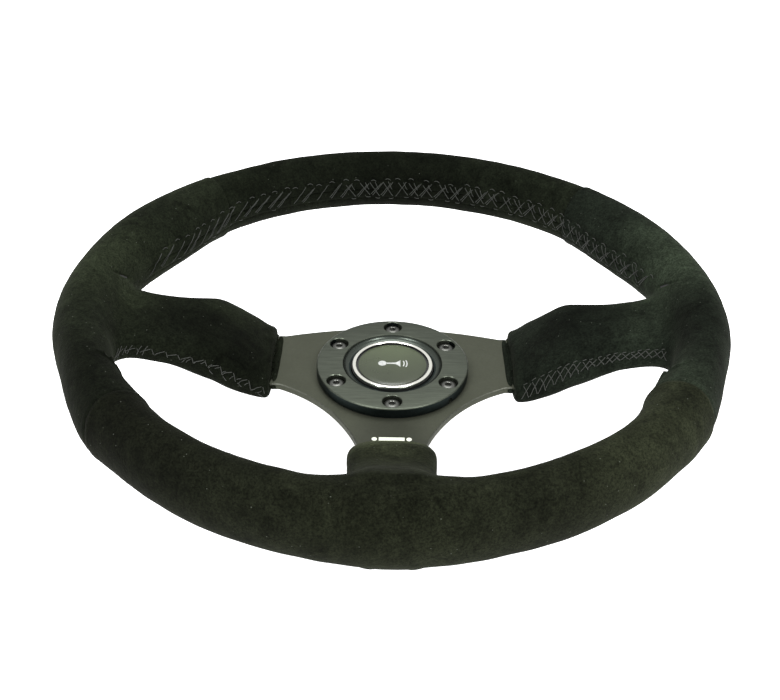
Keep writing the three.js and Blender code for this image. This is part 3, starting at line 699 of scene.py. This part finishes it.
# ---- Suede panels ----
BASE_VOXEL = 1.6
HOLLOW_VOXEL = 3.2
STITCH_Z = 43.3
STITCH_HALF = 6.4
STITCH_START = 14.0
STITCH_END = 166.0
HEM_REACH = 112.0  # a sleeve's hem is looked for only inside this radius
HUB_START = 45.0  # a sleeve's hub end lies further along its arm than this
FAR = 1e3


def sleeve_point(arm, s, turn):
    """A point on a sleeve's surface; turn is 0 towards +t, 90 towards the driver."""
    half_width, above, below, height = sleeve_section(arm, s)
    turn = np.radians(turn)
    across = np.sign(np.cos(turn)) * np.abs(np.cos(turn)) ** CORNER
    up = np.sign(np.sin(turn)) * np.abs(np.sin(turn)) ** CORNER
    rise = np.where(up > 0, above, below) * up
    return arm.place(s, arm.middle(s) + half_width * across, height + rise)


def rim_ring(angle, sides=40):
    outer, inner, above, below = rim_section(np.float64(angle))
    turn = 2 * np.pi * np.arange(sides) / sides
    width = np.where(np.cos(turn) < 0, inner, outer)
    height = np.where(np.sin(turn) > 0, above, below)
    r = RIM_RADIUS + width * np.cos(turn)
    a = math.radians(angle)
    return np.column_stack([r * math.cos(a), r * math.sin(a), RIM_Z + height * np.sin(turn)])


def voxel_body(name, voxel):
    """The rim and the three sleeves as one closed mesh of even quads."""
    parts = [loft("rim_blank", [rim_ring(2.0 * i) for i in range(180)], closed_rows=True)]
    for arm in ARMS.values():
        turns = 9.0 * np.arange(40) + 4.5
        rings = [sleeve_point(arm, s, turns) for s in np.linspace(arm.start, SLEEVE_END, 60)]
        parts.append(loft("sleeve_blank", rings))
    bm = bmesh.new()
    for part in parts:
        face_outwards(part)
        bm.from_mesh(part.data)
        remove(part)
    obj = new_object(name, np.zeros((0, 3)), [])
    bm.to_mesh(obj.data)
    bm.free()
    remesh = obj.modifiers.new("remesh", "REMESH")
    remesh.mode = "VOXEL"
    remesh.voxel_size = voxel * MM
    apply_modifiers(obj)
    return obj


def relax(points, edges, share=0.5):
    total = np.zeros_like(points)
    count = np.bincount(edges.ravel(), minlength=len(points)).astype(float)[:, None]
    for axis in range(3):
        total[:, axis] = np.bincount(edges[:, 0], points[edges[:, 1], axis], len(points))
        total[:, axis] += np.bincount(edges[:, 1], points[edges[:, 0], axis], len(points))
    return points + share * (total / np.maximum(count, 1) - points)


def edges_of(obj):
    edges = np.zeros(len(obj.data.edges) * 2, np.int32)
    obj.data.edges.foreach_get("vertices", edges)
    return edges.reshape(-1, 2)


def seam_distances(p):
    """Distance from each seam's plane, positive anticlockwise of it, and far off on its other side."""
    angle, radius = round_axis(p)
    return {name: np.radians((angle - seam + 180) % 360 - 180) * radius for name, seam in SEAMS.items()}


def stitch_share(p):
    """1 on the stitched stretch of the rim's inner face, from one side sleeve over the top to the other."""
    angle, radius = round_axis(p)
    angle = angle % 360
    along = smoothstep((angle - STITCH_START) / 4) * smoothstep((STITCH_END - angle) / 4)
    return along * (radius < RIM_RADIUS - 4)


def hem_distance(p, arm):
    """How far outwards of a sleeve's hem each point lies, and FAR for points on the rest of the wheel."""
    s = arm.local(p)[0]
    return np.where((s > HUB_START) & (s < 90) & (round_axis(p)[1] < HEM_REACH), s - arm.hem_end, FAR)


def fineness(p):
    """Distance in millimetres to the nearest line that needs fine mesh."""
    near = fold_distance(p)[0]
    for distance in seam_distances(p).values():
        near = np.minimum(near, np.abs(distance))
    for arm in ARMS.values():
        near = np.minimum(near, np.abs(hem_distance(p, arm)))
    on_band = stitch_share(p) > 0.02
    rows = np.minimum(np.abs(p[:, 2] - STITCH_Z), np.abs(np.abs(p[:, 2] - STITCH_Z) - STITCH_HALF))
    return np.minimum(near, np.where(on_band, rows + 1.5, FAR))


def refine(obj, reach):
    near = fineness(points_of(obj)) < reach

    def change(bm):
        edges = [e for e in bm.edges if near[e.verts[0].index] and near[e.verts[1].index]]
        bmesh.ops.subdivide_edges(bm, edges=edges, cuts=1, use_grid_fill=True)
        bmesh.ops.triangulate(bm, faces=[f for f in bm.faces if len(f.verts) > 4])

    edit_mesh(obj, change)


# The fold where each side sleeve's upper corner runs into the rim, up its inner face onto its top.
FOLD = np.array([
    (146.5, 34, 37), (146.0, 27, 44), (145.5, 20.5, 50), (148, 15, 55.5), (153, 9.5, 60.5), (159, 4, 63.5),
], float)


def fold_distance(p):
    """Distance from the fold's line, and how far along it the nearest point is, from 0 to 1."""
    q = p.copy()
    q[:, 0] = np.abs(q[:, 0])
    best = np.full(len(p), FAR)
    along = np.zeros(len(p))
    pieces = len(FOLD) - 1
    for i in range(pieces):
        a, d = FOLD[i], FOLD[i + 1] - FOLD[i]
        share = clamp01((q - a) @ d / (d @ d))
        distance = np.linalg.norm(q - a - share[:, None] * d, axis=1)
        nearer = distance < best
        best = np.where(nearer, distance, best)
        along = np.where(nearer, (i + share) / pieces, along)
    return best, along


def soft_waves(p, length, seed):
    """Smooth unevenness, mostly between -1 and 1, from a few sine waves in different directions."""
    draw = np.random.default_rng(seed)
    total = np.zeros(len(p))
    for _ in range(7):
        direction = draw.normal(size=3)
        direction /= np.linalg.norm(direction)
        wave = length * draw.uniform(0.7, 1.6)
        total += np.sin(2 * np.pi * (p @ direction) / wave + draw.uniform(0, 6.28))
    return total / 4


def relief(p):
    """How far the leather stands above (+) or sinks below (-) the smooth surface."""
    height = 0.28 * soft_waves(p, 46, 1) + 0.10 * soft_waves(p, 12, 2)
    for name, x in seam_distances(p).items():
        faint = name == "lower_left"
        wobble = x + 0.5 * np.sin(p[:, 2] / 6.5 + p[:, 0] / 9)
        depth = 0.15 if faint else 0.8
        height += -depth * bump_curve(wobble, 0.38) - 0.15 * bump_curve(wobble, 1.8)
        height += 0.14 * bump_curve(np.abs(wobble) - 2.1, 1.1)
        if name.startswith("lower"):
            # The bottom panel laps over the grips.
            into_bottom = wobble if faint else -wobble
            step = 0.25 if faint else 0.55
            height += step * (into_bottom > 0) * smoothstep((9 - into_bottom) / 9)
    for arm in (ARMS["left"], ARMS["right"]):
        line = hem_distance(p, arm) - 0.35 * np.sin(arm.local(p)[1] / 5.0)
        height += -0.55 * bump_curve(line, 0.6)
    fold, along = fold_distance(p)
    fade = smoothstep(along / 0.1) * smoothstep((1 - along) / 0.6)
    height += fade * (-1.3 * bump_curve(fold, 0.75) - 0.5 * bump_curve(fold, 3.0))
    v = p[:, 2] - STITCH_Z
    band = stitch_share(p)
    height += band * (-0.9 * bump_curve(v, 0.5) - 0.25 * bump_curve(v, 2.2))
    height += band * (-0.35 * bump_curve(np.abs(v) - STITCH_HALF, 0.8))
    return height


def settle(body, field, rounds, passes):
    """Pulls a body's points onto a field's surface, then evens them out along it."""
    edges = edges_of(body)
    points, _ = onto_surface(points_of(body), field, rounds)
    for _ in range(passes):
        points, _ = onto_surface(relax(points, edges), field, 1)
    set_points(body, points)


def build_outer():
    body = voxel_body("suede_body", BASE_VOXEL)
    settle(body, suede_distance, 4, 4)
    for reach in ([7.0, 4.2, 2.6]):
        refine(body, reach)
    points, normals = onto_surface(points_of(body), rounds=2)
    set_points(body, points + normals * relief(points)[:, None])
    return body


def build_inner():
    """The hollow inside the leather, which is also the foam's outside."""
    body = voxel_body("hollow", HOLLOW_VOXEL)
    inset = SUEDE_THICKNESS + SKIN_GAP

    def field(p):
        distance = suede_distance(p) + inset
        for arm in ARMS.values():
            s, t, _ = arm.local(p)
            hub_end = (s > HUB_START) & (s < 95) & (np.abs(t) < 40)
            distance = np.maximum(distance, np.where(hub_end, arm.hem_end + FOAM_TUCK - s, -FAR))
        return distance

    settle(body, field, 5, 2)
    return body


def arm_blank(name, arm, grow, root_inset=0.0):
    """A bent arm of the plate from its flat part into the rim, drawn out by a margin on every side."""
    stations = [60, 66.2, 67, 68, 69, 70, 71, 72, 74, 80, 88, 92, 94, 96, 98, 100, 124, 144, 148, 152]
    rings = []
    for s in map(float, [*stations, ARM_END]):
        taper = clamp01((s - FLAT_END) / 82)
        margin = grow - root_inset if s < FLAT_END + 0.5 else grow
        half = arm.plate + (13.5 - arm.plate) * taper + margin
        slope = float(arm_height(s + 0.5) - arm_height(s - 0.5))
        length = math.hypot(1, slope)
        n = np.array([-1, -1, 1, 1]) * (PLATE_THICKNESS / 2 + margin)
        t = arm.middle(s) + np.array([-half, half, half, -half])
        rings.append(arm.place(s - n * slope / length, t, arm_height(s) + n / length))
    return face_outwards(loft(name, rings))


def wedge(name, start, end, half_gap=0.06):
    """The space between two seam planes."""
    gap = math.degrees(half_gap / RIM_RADIUS)
    angles = np.radians(np.linspace(start + gap, end - gap, 9))
    far = np.column_stack([400 * np.cos(angles), 400 * np.sin(angles), 0 * angles])
    low = np.vstack([[0, 0, 0], far]) + [0, 0, -40]
    high = low + [0, 0, 160]
    return face_outwards(loft(name, [low, high]))


PANELS = {
    "top_panel": ("upper_right", "upper_left", "suede", "top_wrap"),
    "left_grip_panel": ("upper_left", "lower_left", "suede_left", "left_grip_wrap"),
    "bottom_panel": ("lower_left", "lower_right", "suede_bottom", "bottom_wrap"),
    "right_grip_panel": ("lower_right", "upper_right", "suede_right", "right_grip_wrap"),
}


def build_suede():
    outer = build_outer()
    hollow = build_inner()
    slots = [arm_blank("slot", arm, SKIN_GAP) for arm in ARMS.values()]
    skin = combine(outer, [hollow, *slots], keep=True)
    for name, (first, last, material, node) in PANELS.items():
        start, end = SEAMS[first], SEAMS[last]
        if end < start:
            start -= 360
        panel = bpy.data.objects.new(name, skin.data.copy())
        bpy.context.scene.collection.objects.link(panel)
        combine(panel, [wedge("wedge", start, end)], "INTERSECT")
        shade(panel, 50)
        seat(panel, material, replaces=[node])
    remove(skin)
    hollow.name = "grip_foam"
    foam = combine(hollow, slots)
    shade(foam, 50)
    seat(foam, "foam", replaces=["rim_foam"])


build_suede()


# ---- Stitching ----
THREAD_RADIUS = 0.22
NET_END = 100.0  # degrees round the rim where the crossed threads end
ROW_START, ROW_END = 70.5, 142.0  # a sleeve's stitches, as distances from the wheel's axis
NEAR_HEM, NEAR_RIM = 112.0, 125.0


def tube(points, radius, sides=6):
    """Vertices and faces of a closed tube along points."""
    points = np.asarray(points, float)
    tangents = np.gradient(points, axis=0)
    tangents /= np.linalg.norm(tangents, axis=1)[:, None] + 1e-9
    reference = np.array([0.0, 0.0, 1.0]) if abs(tangents[0, 2]) < 0.9 else np.array([1.0, 0.0, 0.0])
    a = np.cross(tangents, reference)
    a /= np.linalg.norm(a, axis=1)[:, None] + 1e-9
    b = np.cross(tangents, a)
    turn = 2 * np.pi * np.arange(sides) / sides
    rings = points[:, None, :] + radius * (
        np.cos(turn)[None, :, None] * a[:, None, :] + np.sin(turn)[None, :, None] * b[:, None, :]
    )
    return rings.reshape(-1, 3), ring_faces(len(points), sides)


def thread_mesh(name, threads):
    """One object of many short threads; each is a row of points near the leather."""
    counts = [len(t) for t in threads]
    points, normals = onto_surface(np.concatenate(threads), rounds=5)
    points = points + normals * relief(points)[:, None] * 0.6
    verts, faces, start = [], [], 0
    for count in counts:
        run = slice(start, start + count)
        across = np.linspace(-1, 1, count)
        lift = THREAD_RADIUS * 0.9 - 1.3 * across**8
        path = points[run] + normals[run] * lift[:, None]
        v, f = tube(path, THREAD_RADIUS)
        offset = sum(len(x) for x in verts)
        verts.append(v)
        faces.extend([i + offset for i in face] for face in f)
        start += count
    obj = new_object(name, np.concatenate(verts), faces, 60)
    return face_outwards(obj)


def rim_point(angle, z):
    _, inner, above, below = rim_section(np.asarray(angle, float))
    up = np.clip((z - RIM_Z) / np.where(z > RIM_Z, above, below), -0.98, 0.98)
    r = RIM_RADIUS - inner * np.sqrt(1 - up**2)
    return np.column_stack([r * np.cos(np.radians(angle)), r * np.sin(np.radians(angle)), z])


def build_rim_stitches():
    """Slanted threads all along the band, which cross to a net from 3 o'clock to past 12 o'clock."""
    pitch = math.degrees(8.6 / 147)
    threads = []

    def sew(angle_1, v_1, angle_2, v_2, arch=0.0, count=9):
        share = np.linspace(0, 1, count)
        v = v_1 + (v_2 - v_1) * share + arch * np.sin(np.pi * share)
        threads.append(rim_point(angle_1 + (angle_2 - angle_1) * share, STITCH_Z + v))

    for angle in np.arange(STITCH_START + 2, STITCH_END, pitch):
        a = angle + random.uniform(-0.6, 0.6)
        top = STITCH_HALF + random.uniform(-1.1, 0.6)
        low = -STITCH_HALF + random.uniform(-0.6, 1.3)
        slant = pitch * float(1.0 + 0.6 * smoothstep((angle - 105) / 30))
        upper = a - slant
        sew(a, low, upper, top)
        sew(upper, top, upper - pitch * 0.5, top - 0.6, arch=1.2, count=7)
        if random.random() < 0.6:
            sew(a + 0.35, low + 1.2, upper + 0.5, top - 1.0)
        if angle < NET_END:
            sew(a, low + 0.3, a + pitch * 0.95, top - 0.3)
            sew(a + 0.5, -0.8, a + pitch * 0.5, top - 0.5, count=7)
            sew(a, low, a + pitch * 0.45, low + random.uniform(-0.3, 0.6), arch=-0.5, count=6)
        elif random.random() < 0.4:
            sew(a, low, a + pitch * 0.4, low + 0.5, arch=-0.4, count=6)
    seat(thread_mesh("rim_stitching", threads), "thread")


def build_sleeve_stitches(side, pitch, upper, lower, crossed):
    """A herringbone of long slanted threads and short drops, or a net of crossing threads.

    The upper and lower rows are turns round the sleeve. They spread apart towards the hem, where the
    herringbone also gets denser.
    """
    arm = ARMS[side]
    threads = []

    def sew(s_1, turn_1, s_2, turn_2, count=9):
        share = np.linspace(0, 1, count)
        threads.append(sleeve_point(arm, s_1 + (s_2 - s_1) * share, turn_1 + (turn_2 - turn_1) * share))

    for s in np.arange(ROW_START, ROW_END, pitch):
        a = s + random.uniform(-0.5, 0.5)
        spread = (12 if crossed else 4) * float(clamp01((108 - s) / 30))
        high = upper + random.uniform(-2, 2)
        low = lower + spread + random.uniform(-2, 2)
        sew(a + pitch * 0.95, low, a, high)
        if crossed:
            sew(a - pitch * 0.2, low, a + pitch * 1.1, high)
            sew(a, high, a + pitch * 0.6, high - 2, 7)
            if random.random() < 0.5:
                sew(a + 1.5, (high + low) / 2, a + pitch * 0.9, low - 4, 7)
            continue
        sew(a, high, a - 0.8, low + 1, 7)
        if s > NEAR_RIM:
            sew(a + 1.5, high - 8, a + pitch * 0.8, low + 6)
            sew(a + 4.5, high - 6, a + pitch * 1.2, low + 6)
        elif s < NEAR_HEM:
            for k in range(2):
                b = a + pitch * k / 2 + random.uniform(-0.6, 0.6)
                drop = high + 5 + random.uniform(-2, 4)
                sew(b + 3.2, drop + 7, b, drop, 7)
                if random.random() < 0.6:
                    sew(b + 0.4, drop + 14, b + 2.4, drop + 8, 7)
    seat(thread_mesh(f"{side}_sleeve_stitching", threads), "thread")


build_rim_stitches()
build_sleeve_stitches("left", 7.0, 171, 181, False)
build_sleeve_stitches("right", 4.1, 156, 177, True)


# ---- Spoke plate ----
def bezier(p0, p1, p2, p3, count=24):
    t = np.linspace(0, 1, count + 1)[:, None]
    p0, p1, p2, p3 = (np.array(p, float) for p in (p0, p1, p2, p3))
    return (1 - t) ** 3 * p0 + 3 * (1 - t) ** 2 * t * p1 + 3 * (1 - t) * t**2 * p2 + t**3 * p3


def plate_outline():
    straight, top, bottom, neck = FLAT_END - 4, 33.6, -13.4, 18.0
    right = np.vstack([
        bezier((0, 42.5), (26, 42.5), (42, top + 5.5), (straight, top)),
        [[FLAT_END, top], [FLAT_END, bottom]],
        bezier((straight, bottom), (38, -24), (24, -45), (neck, -straight)),
        [[neck, -FLAT_END]],
    ])
    left = right[::-1] * [-1, 1]
    return np.vstack([right, left[:-1]])


def offset_outline(points, distance):
    """The closed outline drawn in by a distance along each corner's bisector."""
    before, after = np.roll(points, 1, axis=0), np.roll(points, -1, axis=0)
    d1, d2 = points - before, after - points
    d1 /= np.linalg.norm(d1, axis=1)[:, None]
    d2 /= np.linalg.norm(d2, axis=1)[:, None]
    n1 = np.column_stack([-d1[:, 1], d1[:, 0]])
    n2 = np.column_stack([-d2[:, 1], d2[:, 0]])
    bisector = n1 + n2
    bisector /= np.sum(bisector * n1, axis=1)[:, None] + 1e-9
    area = np.sum(points[:, 0] * after[:, 1] - after[:, 0] * points[:, 1])
    return points + bisector * distance * (1 if area > 0 else -1)


PLATE_CHAMFER = 0.45
PLATE_BORE = 26.8
SCREW_HOLE = 2.7
SCREW_CIRCLE = 35.0
SCREW_PLACES = arc((0, 0), (SCREW_CIRCLE, SCREW_CIRCLE), 90, -210, 6)


def build_plate():
    outline = plate_outline()
    drawn_in = offset_outline(outline, PLATE_CHAMFER)
    heights = [0, PLATE_CHAMFER, PLATE_THICKNESS - PLATE_CHAMFER, PLATE_THICKNESS]
    layers = zip((drawn_in, outline, outline, drawn_in), heights)
    rings = [np.column_stack([xy, np.full(len(xy), z)]) for xy, z in layers]
    plate = face_outwards(loft("spoke_plate_finished", rings))
    combine(plate, [arm_blank("arm", arm, 0, 0.3) for arm in ARMS.values()], "UNION")
    tools = [cylinder("bore", PLATE_BORE, -1, 5, 96)]
    tools += [cylinder("hole", SCREW_HOLE, -1, 5, 24, place) for place in SCREW_PLACES]
    combine(plate, tools)
    shade(plate, 28)
    seat(plate, "anodised_plate", replaces=["spoke_plate"])
    # The chamfer faces of the flat part get the lighter metal: edge wear and a painted highlight.
    plate.data.materials.append(MATERIALS["plate_edge"])
    for polygon in plate.data.polygons:
        tilt = abs(polygon.normal.z)
        centre = polygon.center / MM
        flat = max(abs(centre.x), abs(centre.y)) < FLAT_END - 1 and centre.xy.length > 28
        if 0.5 < tilt < 0.85 and flat and centre.z < 4.2:
            polygon.material_index = 1


build_plate()


# ---- Hub ring, screws and locking screw ----
RING_BASE = 4.3
RING_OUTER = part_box("horn_ring")[1].x / MM
RING_INNER = 23.3
RECESS_RADIUS = 29.0
SEAT_DEPTH = 4.2
SEAT_RADIUS = 5.2


def build_ring():
    top = RING_TOP
    outline = [(RECESS_RADIUS, RING_BASE), (RING_OUTER - 0.3, RING_BASE), (RING_OUTER, RING_BASE + 0.3)]
    outline += arc((RING_OUTER - 0.9, top - 0.9), (0.9, 0.9), 0, 90, 7)
    outline.append((27.6, top))
    outline += arc((RING_INNER, top - 0.12), (4.0, -2.68), 0, 90, 15)[1:]
    recess = RING_BASE + 2.3
    outline += [(RING_INNER, recess), (RECESS_RADIUS, recess), (RECESS_RADIUS, RING_BASE)]
    ring = lathe("hub_ring", outline, 192)
    floor = top - SEAT_DEPTH
    seat_outline = [(0, floor), (SEAT_RADIUS, floor), (SEAT_RADIUS, top - 0.3)]
    seat_outline += [(SEAT_RADIUS + 0.4, top + 0.1), (0, top + 0.1)]
    tools = []
    for place in SCREW_PLACES:
        tools.append(cylinder("hole", SCREW_HOLE, RING_BASE - 1, top + 1, 24, place))
        tools.append(move(lathe("bore", seat_outline, 48), (*place, 0)))
    tools.append(radial(cylinder("bore", 1.5, 28.5, 43, 24)))
    combine(ring, tools)
    shade(ring, 28)
    seat(ring, "anodised_ring", replaces=["horn_ring"])
    ring.data.materials.append(MATERIALS["ring_side"])
    ring.data.materials.append(MATERIALS["ring_bevel"])
    for polygon in ring.data.polygons:
        radius, depth = polygon.center.xy.length / MM, top - polygon.center.z / MM
        # The outer side and the inner wall below the bevel get a darker copy of the ring's metal, as painted
        # shade.
        if depth > 0.7 and (radius > 0.93 * RING_OUTER or radius < 24.2):
            polygon.material_index = 1
        # The bevel gets the darkened copy of the ring's metal, as painted shade.
        elif depth > 0.13 and radius < 27.4:
            polygon.material_index = 2


GRUB_ANGLE = -42.0
GRUB_Z = RING_BASE + 1.75


def radial(obj):
    """Lays an upright piece down along the locking screw's direction."""
    lie = Matrix.Rotation(math.radians(GRUB_ANGLE), 4, "Z") @ Matrix.Rotation(math.pi / 2, 4, "Y")
    return move(obj, (0, 0, GRUB_Z), lie)


def hex_tool(radius, low, high, turn=0.0):
    corners = arc((0, 0), (radius, radius), turn, turn + 300, 6)
    return face_outwards(loft("socket", [[(x, y, z) for x, y in corners] for z in (low, high)]))


def build_screws():
    seat_z = RING_TOP - SEAT_DEPTH + 0.3
    crown = seat_z + 2.75
    outline = [(0, seat_z - 16), (1.9, seat_z - 16), (2.4, seat_z - 15.4)]
    thread_low, thread_high, thread_pitch = seat_z - 15.2, seat_z - 4.0, 0.8
    z = thread_low
    while z < thread_high:
        outline += [(2.4, z), (2.05, z + thread_pitch / 2)]
        z += thread_pitch
    outline += [(2.4, z), (2.4, seat_z), (4.6, seat_z), (4.75, seat_z + 0.15)]
    outline += arc((1.9, seat_z + 0.55), (2.85, 2.2), 0, 90, 9)
    outline.append((0, crown))
    for i, place in enumerate(SCREW_PLACES):
        screw = lathe(f"socket_screw_{i + 1}", outline, 40)
        socket = hex_tool(1.75, crown - 1.6, crown + 1, math.degrees(random.uniform(0, 1.0)))
        rim = [(0, crown - 0.35), (1.62, crown - 0.35), (2.05, crown + 0.05), (0, crown + 0.05)]
        combine(screw, [socket, lathe("cone", rim, 36)])
        move(screw, (*place, 0))
        shade(screw, 30)
        seat(screw, "black_steel", replaces=[f"hub_screw_{i + 1}"])


def build_locking_screw():
    start = 29.0
    outline = [(0, start), (0.8, start), (1.2, start + 0.4)]
    for i in range(12):
        outline += [(1.2, start + 0.5 + 0.5 * i), (1.05, start + 0.75 + 0.5 * i)]
    outline += [(1.2, start + 6.6), (1.2, start + 7.8), (1.05, start + 8), (0, start + 8)]
    screw = lathe("locking_screw", outline, 24)
    combine(screw, [hex_tool(0.7, start + 6.6, start + 9)])
    radial(screw)
    shade(screw, 30)
    seat(screw, "black_steel", replaces=["grub_screw"])


build_ring()
build_screws()
build_locking_screw()


# ---- Horn button ----
TRIM_HEIGHT = 1.1
TRIM_BASE = RING_TOP - 0.5 - TRIM_HEIGHT
TRIM_INNER = 20.1
TRIM_OUTER = 22.3
DISC_RADIUS = 18.9


def build_button():
    top = TRIM_BASE + TRIM_HEIGHT
    middle, half = (TRIM_INNER + TRIM_OUTER) / 2, (TRIM_OUTER - TRIM_INNER) / 2
    trim = [(TRIM_INNER, TRIM_BASE), (TRIM_OUTER, TRIM_BASE), (TRIM_OUTER, top - 0.45)]
    trim += arc((middle, top - 0.45), (half, 0.45), 0, 180, 11)[1:-1]
    trim += [(TRIM_INNER, top - 0.45), (TRIM_INNER, TRIM_BASE)]
    chrome = lathe("chrome_ring", trim, 160, 60)
    seat(chrome, "chrome", "horn_button", ["chrome_trim_ring"])
    # Painted shade: the chrome ring's inner wall gets black plastic, so the gap round the disc is dark.
    chrome.data.materials.append(MATERIALS["black_plastic"])
    for polygon in chrome.data.polygons:
        if polygon.center.xy.length < (TRIM_INNER + 0.05) * MM:
            polygon.material_index = 1
    disc = [(0, TRIM_BASE), (DISC_RADIUS, TRIM_BASE)]
    for i in range(13):
        r = DISC_RADIUS * (1 - i / 12)
        disc.append((r, dome_height(r)))
    seat(lathe("centre_disc", disc, 128, 40), "gloss_black", "horn_button", ["cap_insert"])


def dome_height(r):
    """Top of the centre disc at a distance from the axis."""
    edge = 0.3 * smoothstep((DISC_RADIUS - r) / 0.7)
    return TRIM_BASE + 0.1 + edge + 0.5 * (1 - (r / DISC_RADIUS) ** 2)


def printed(name, outlines, height, thickness, material, body):
    """Thin raised marks: closed outlines laid on a surface whose height is a function of x and y."""
    verts, faces = [], []
    for outline in outlines:
        faces.extend([len(verts) + i for i in face] for face in ring_faces(2, len(outline)))
        for lift in (-0.05, thickness):
            verts.extend((x, y, float(height(x, y)) + lift) for x, y in outline)
    obj = edit_mesh(new_object(name, verts, faces), lambda bm: bmesh.ops.triangulate(bm, faces=bm.faces))
    seat(face_outwards(obj), material, body=body)


WAVE_ANGLE = 24.064


def circle(x, y, radius, count=28):
    return arc((x, y), (radius, radius), 0, 360, count + 1)[:-1]


def build_marks():
    # A plain horn: bulb, tube, flared bell and two sound waves.
    bell = [(-3.2, -0.55), (0.2, -0.6)]
    bell += [(0.2 + 4.2 * u, -0.6 - 2.6 * u**2.2) for u in np.linspace(0.1, 1, 10)]
    bell += [(x, -y) for x, y in bell[::-1]]
    waves = []
    for radius in (6.4, 8.0):
        inside = radius - 0.62
        out = arc((0.4, 0), (radius, radius), -WAVE_ANGLE, WAVE_ANGLE, 12)
        waves.append(out + arc((0.4, 0), (inside, inside), WAVE_ANGLE, -WAVE_ANGLE, 12))
    horn = [bell, circle(-5.6, 0, 2.3), *waves]

    def on_dome(x, y):
        return dome_height(math.hypot(x, y))

    printed("horn_sign", horn, on_dome, 0.05, "silver_print", "horn_button")
    bar = [(-6.6, -60.0), (6.6, -60.0), (6.6, -57.2), (-6.6, -57.2)]
    marks = [bar, circle(-8.9, -58.6, 1.4), circle(8.9, -58.6, 1.4)]
    printed("centre_mark", marks, lambda x, y: PLATE_THICKNESS, 0.04, "white_print", "wheel")


build_button()
build_marks()


# ---- Housing, spring and the CAD pieces that stay ----
def build_housing():
    outline = [(0, -10), (25.9, -10), (26.5, -9.4), (26.5, RING_BASE), (28.7, RING_BASE), (28.7, 6.3),
               (23.2, 6.3), (23.2, 3.0), (24.6, 3.0), (24.6, -8.5), (0, -8.5)]
    cup = lathe("horn_cup", outline, 120)
    combine(cup, [cylinder("hole", 1.5, -11, -7, 24), cylinder("hole", 1.5, -11, -7, 24, (10, 0))])
    shade(cup, 30)
    seat(cup, "black_plastic", replaces=["horn_housing"])


def build_spring():
    low, high = (corner.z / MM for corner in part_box("horn_spring"))
    turns, wire = 5, 0.5
    u = np.linspace(0, 1, turns * 28 + 1)
    angle = 2 * np.pi * turns * u
    z = low + wire + (high - low - 2 * wire) * u
    path = np.column_stack([5 * np.cos(angle), 5 * np.sin(angle), z])
    verts, faces = tube(path, wire, 10)
    spring = face_outwards(new_object("return_spring", verts, faces, 60))
    seat(spring, "steel", replaces=["horn_spring"])
    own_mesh(spring)


KEPT_NODES = {
    "steel": ["rim_hoop", "spring_seat", *(f"hoop_rivet_{i + 1}" for i in range(6))],
    "black_plastic": ["horn_cap"],
    "brass": ["contact_ring", "contact_plate", "hot_pin", "hot_terminal", "ground_terminal"],
}

build_housing()
build_spring()
for material, nodes in KEPT_NODES.items():
    for node in nodes:
        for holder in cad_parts[node].material_slots:
            holder.material = MATERIALS[material]


# ---- Floor and light ----
FLOOR_GAP = 36.0


def build_floor():
    material, tree, shader = new_material("floor", Roughness=0.9, Specular_IOR_Level=0.1)
    feed(tree, shader, Emission_Strength=0.7, Emission_Color=(1, 1, 1, 1))
    feed(tree, shader, Base_Color=mix(tree, (0.90, 0.90, 0.90), (0.94, 0.94, 0.94), noise(tree, 3, 2)))
    size = 6000
    low = cad_box[0].z / MM - FLOOR_GAP
    corners = [(-size, -size, low), (size, -size, low), (size, size, low), (-size, size, low)]
    floor = new_object("floor", corners, [(0, 1, 2, 3)])
    floor.data.materials.append(material)


def area_light(name, place, target, size, power):
    data = bpy.data.lights.new(name, "AREA")
    data.shape = "DISK"
    data.size = size
    data.energy = power
    light = bpy.data.objects.new(name, data)
    light.location = place
    light.rotation_mode = "QUATERNION"
    light.rotation_quaternion = (Vector(target) - Vector(place)).to_track_quat("-Z", "Y")
    bpy.context.scene.collection.objects.link(light)


def build_light():
    world = bpy.data.worlds.new("studio")
    world.use_nodes = True
    tree = world.node_tree
    feed(tree, tree.nodes["Background"], Color=(1, 1, 1, 1), Strength=0.85)
    bpy.context.scene.world = world
    area_light("key_left", (-0.55, -0.55, 0.95), (0, 0, 0.02), 0.35, 7)
    area_light("key_right", (0.55, -0.55, 0.95), (0, 0, 0.02), 0.35, 7)
    area_light("top", (0, 0.35, 1.1), (0, 0, 0), 0.6, 6)
    bpy.context.scene.view_settings.view_transform = "Standard"


build_floor()
build_light()

bpy.context.view_layer.update()
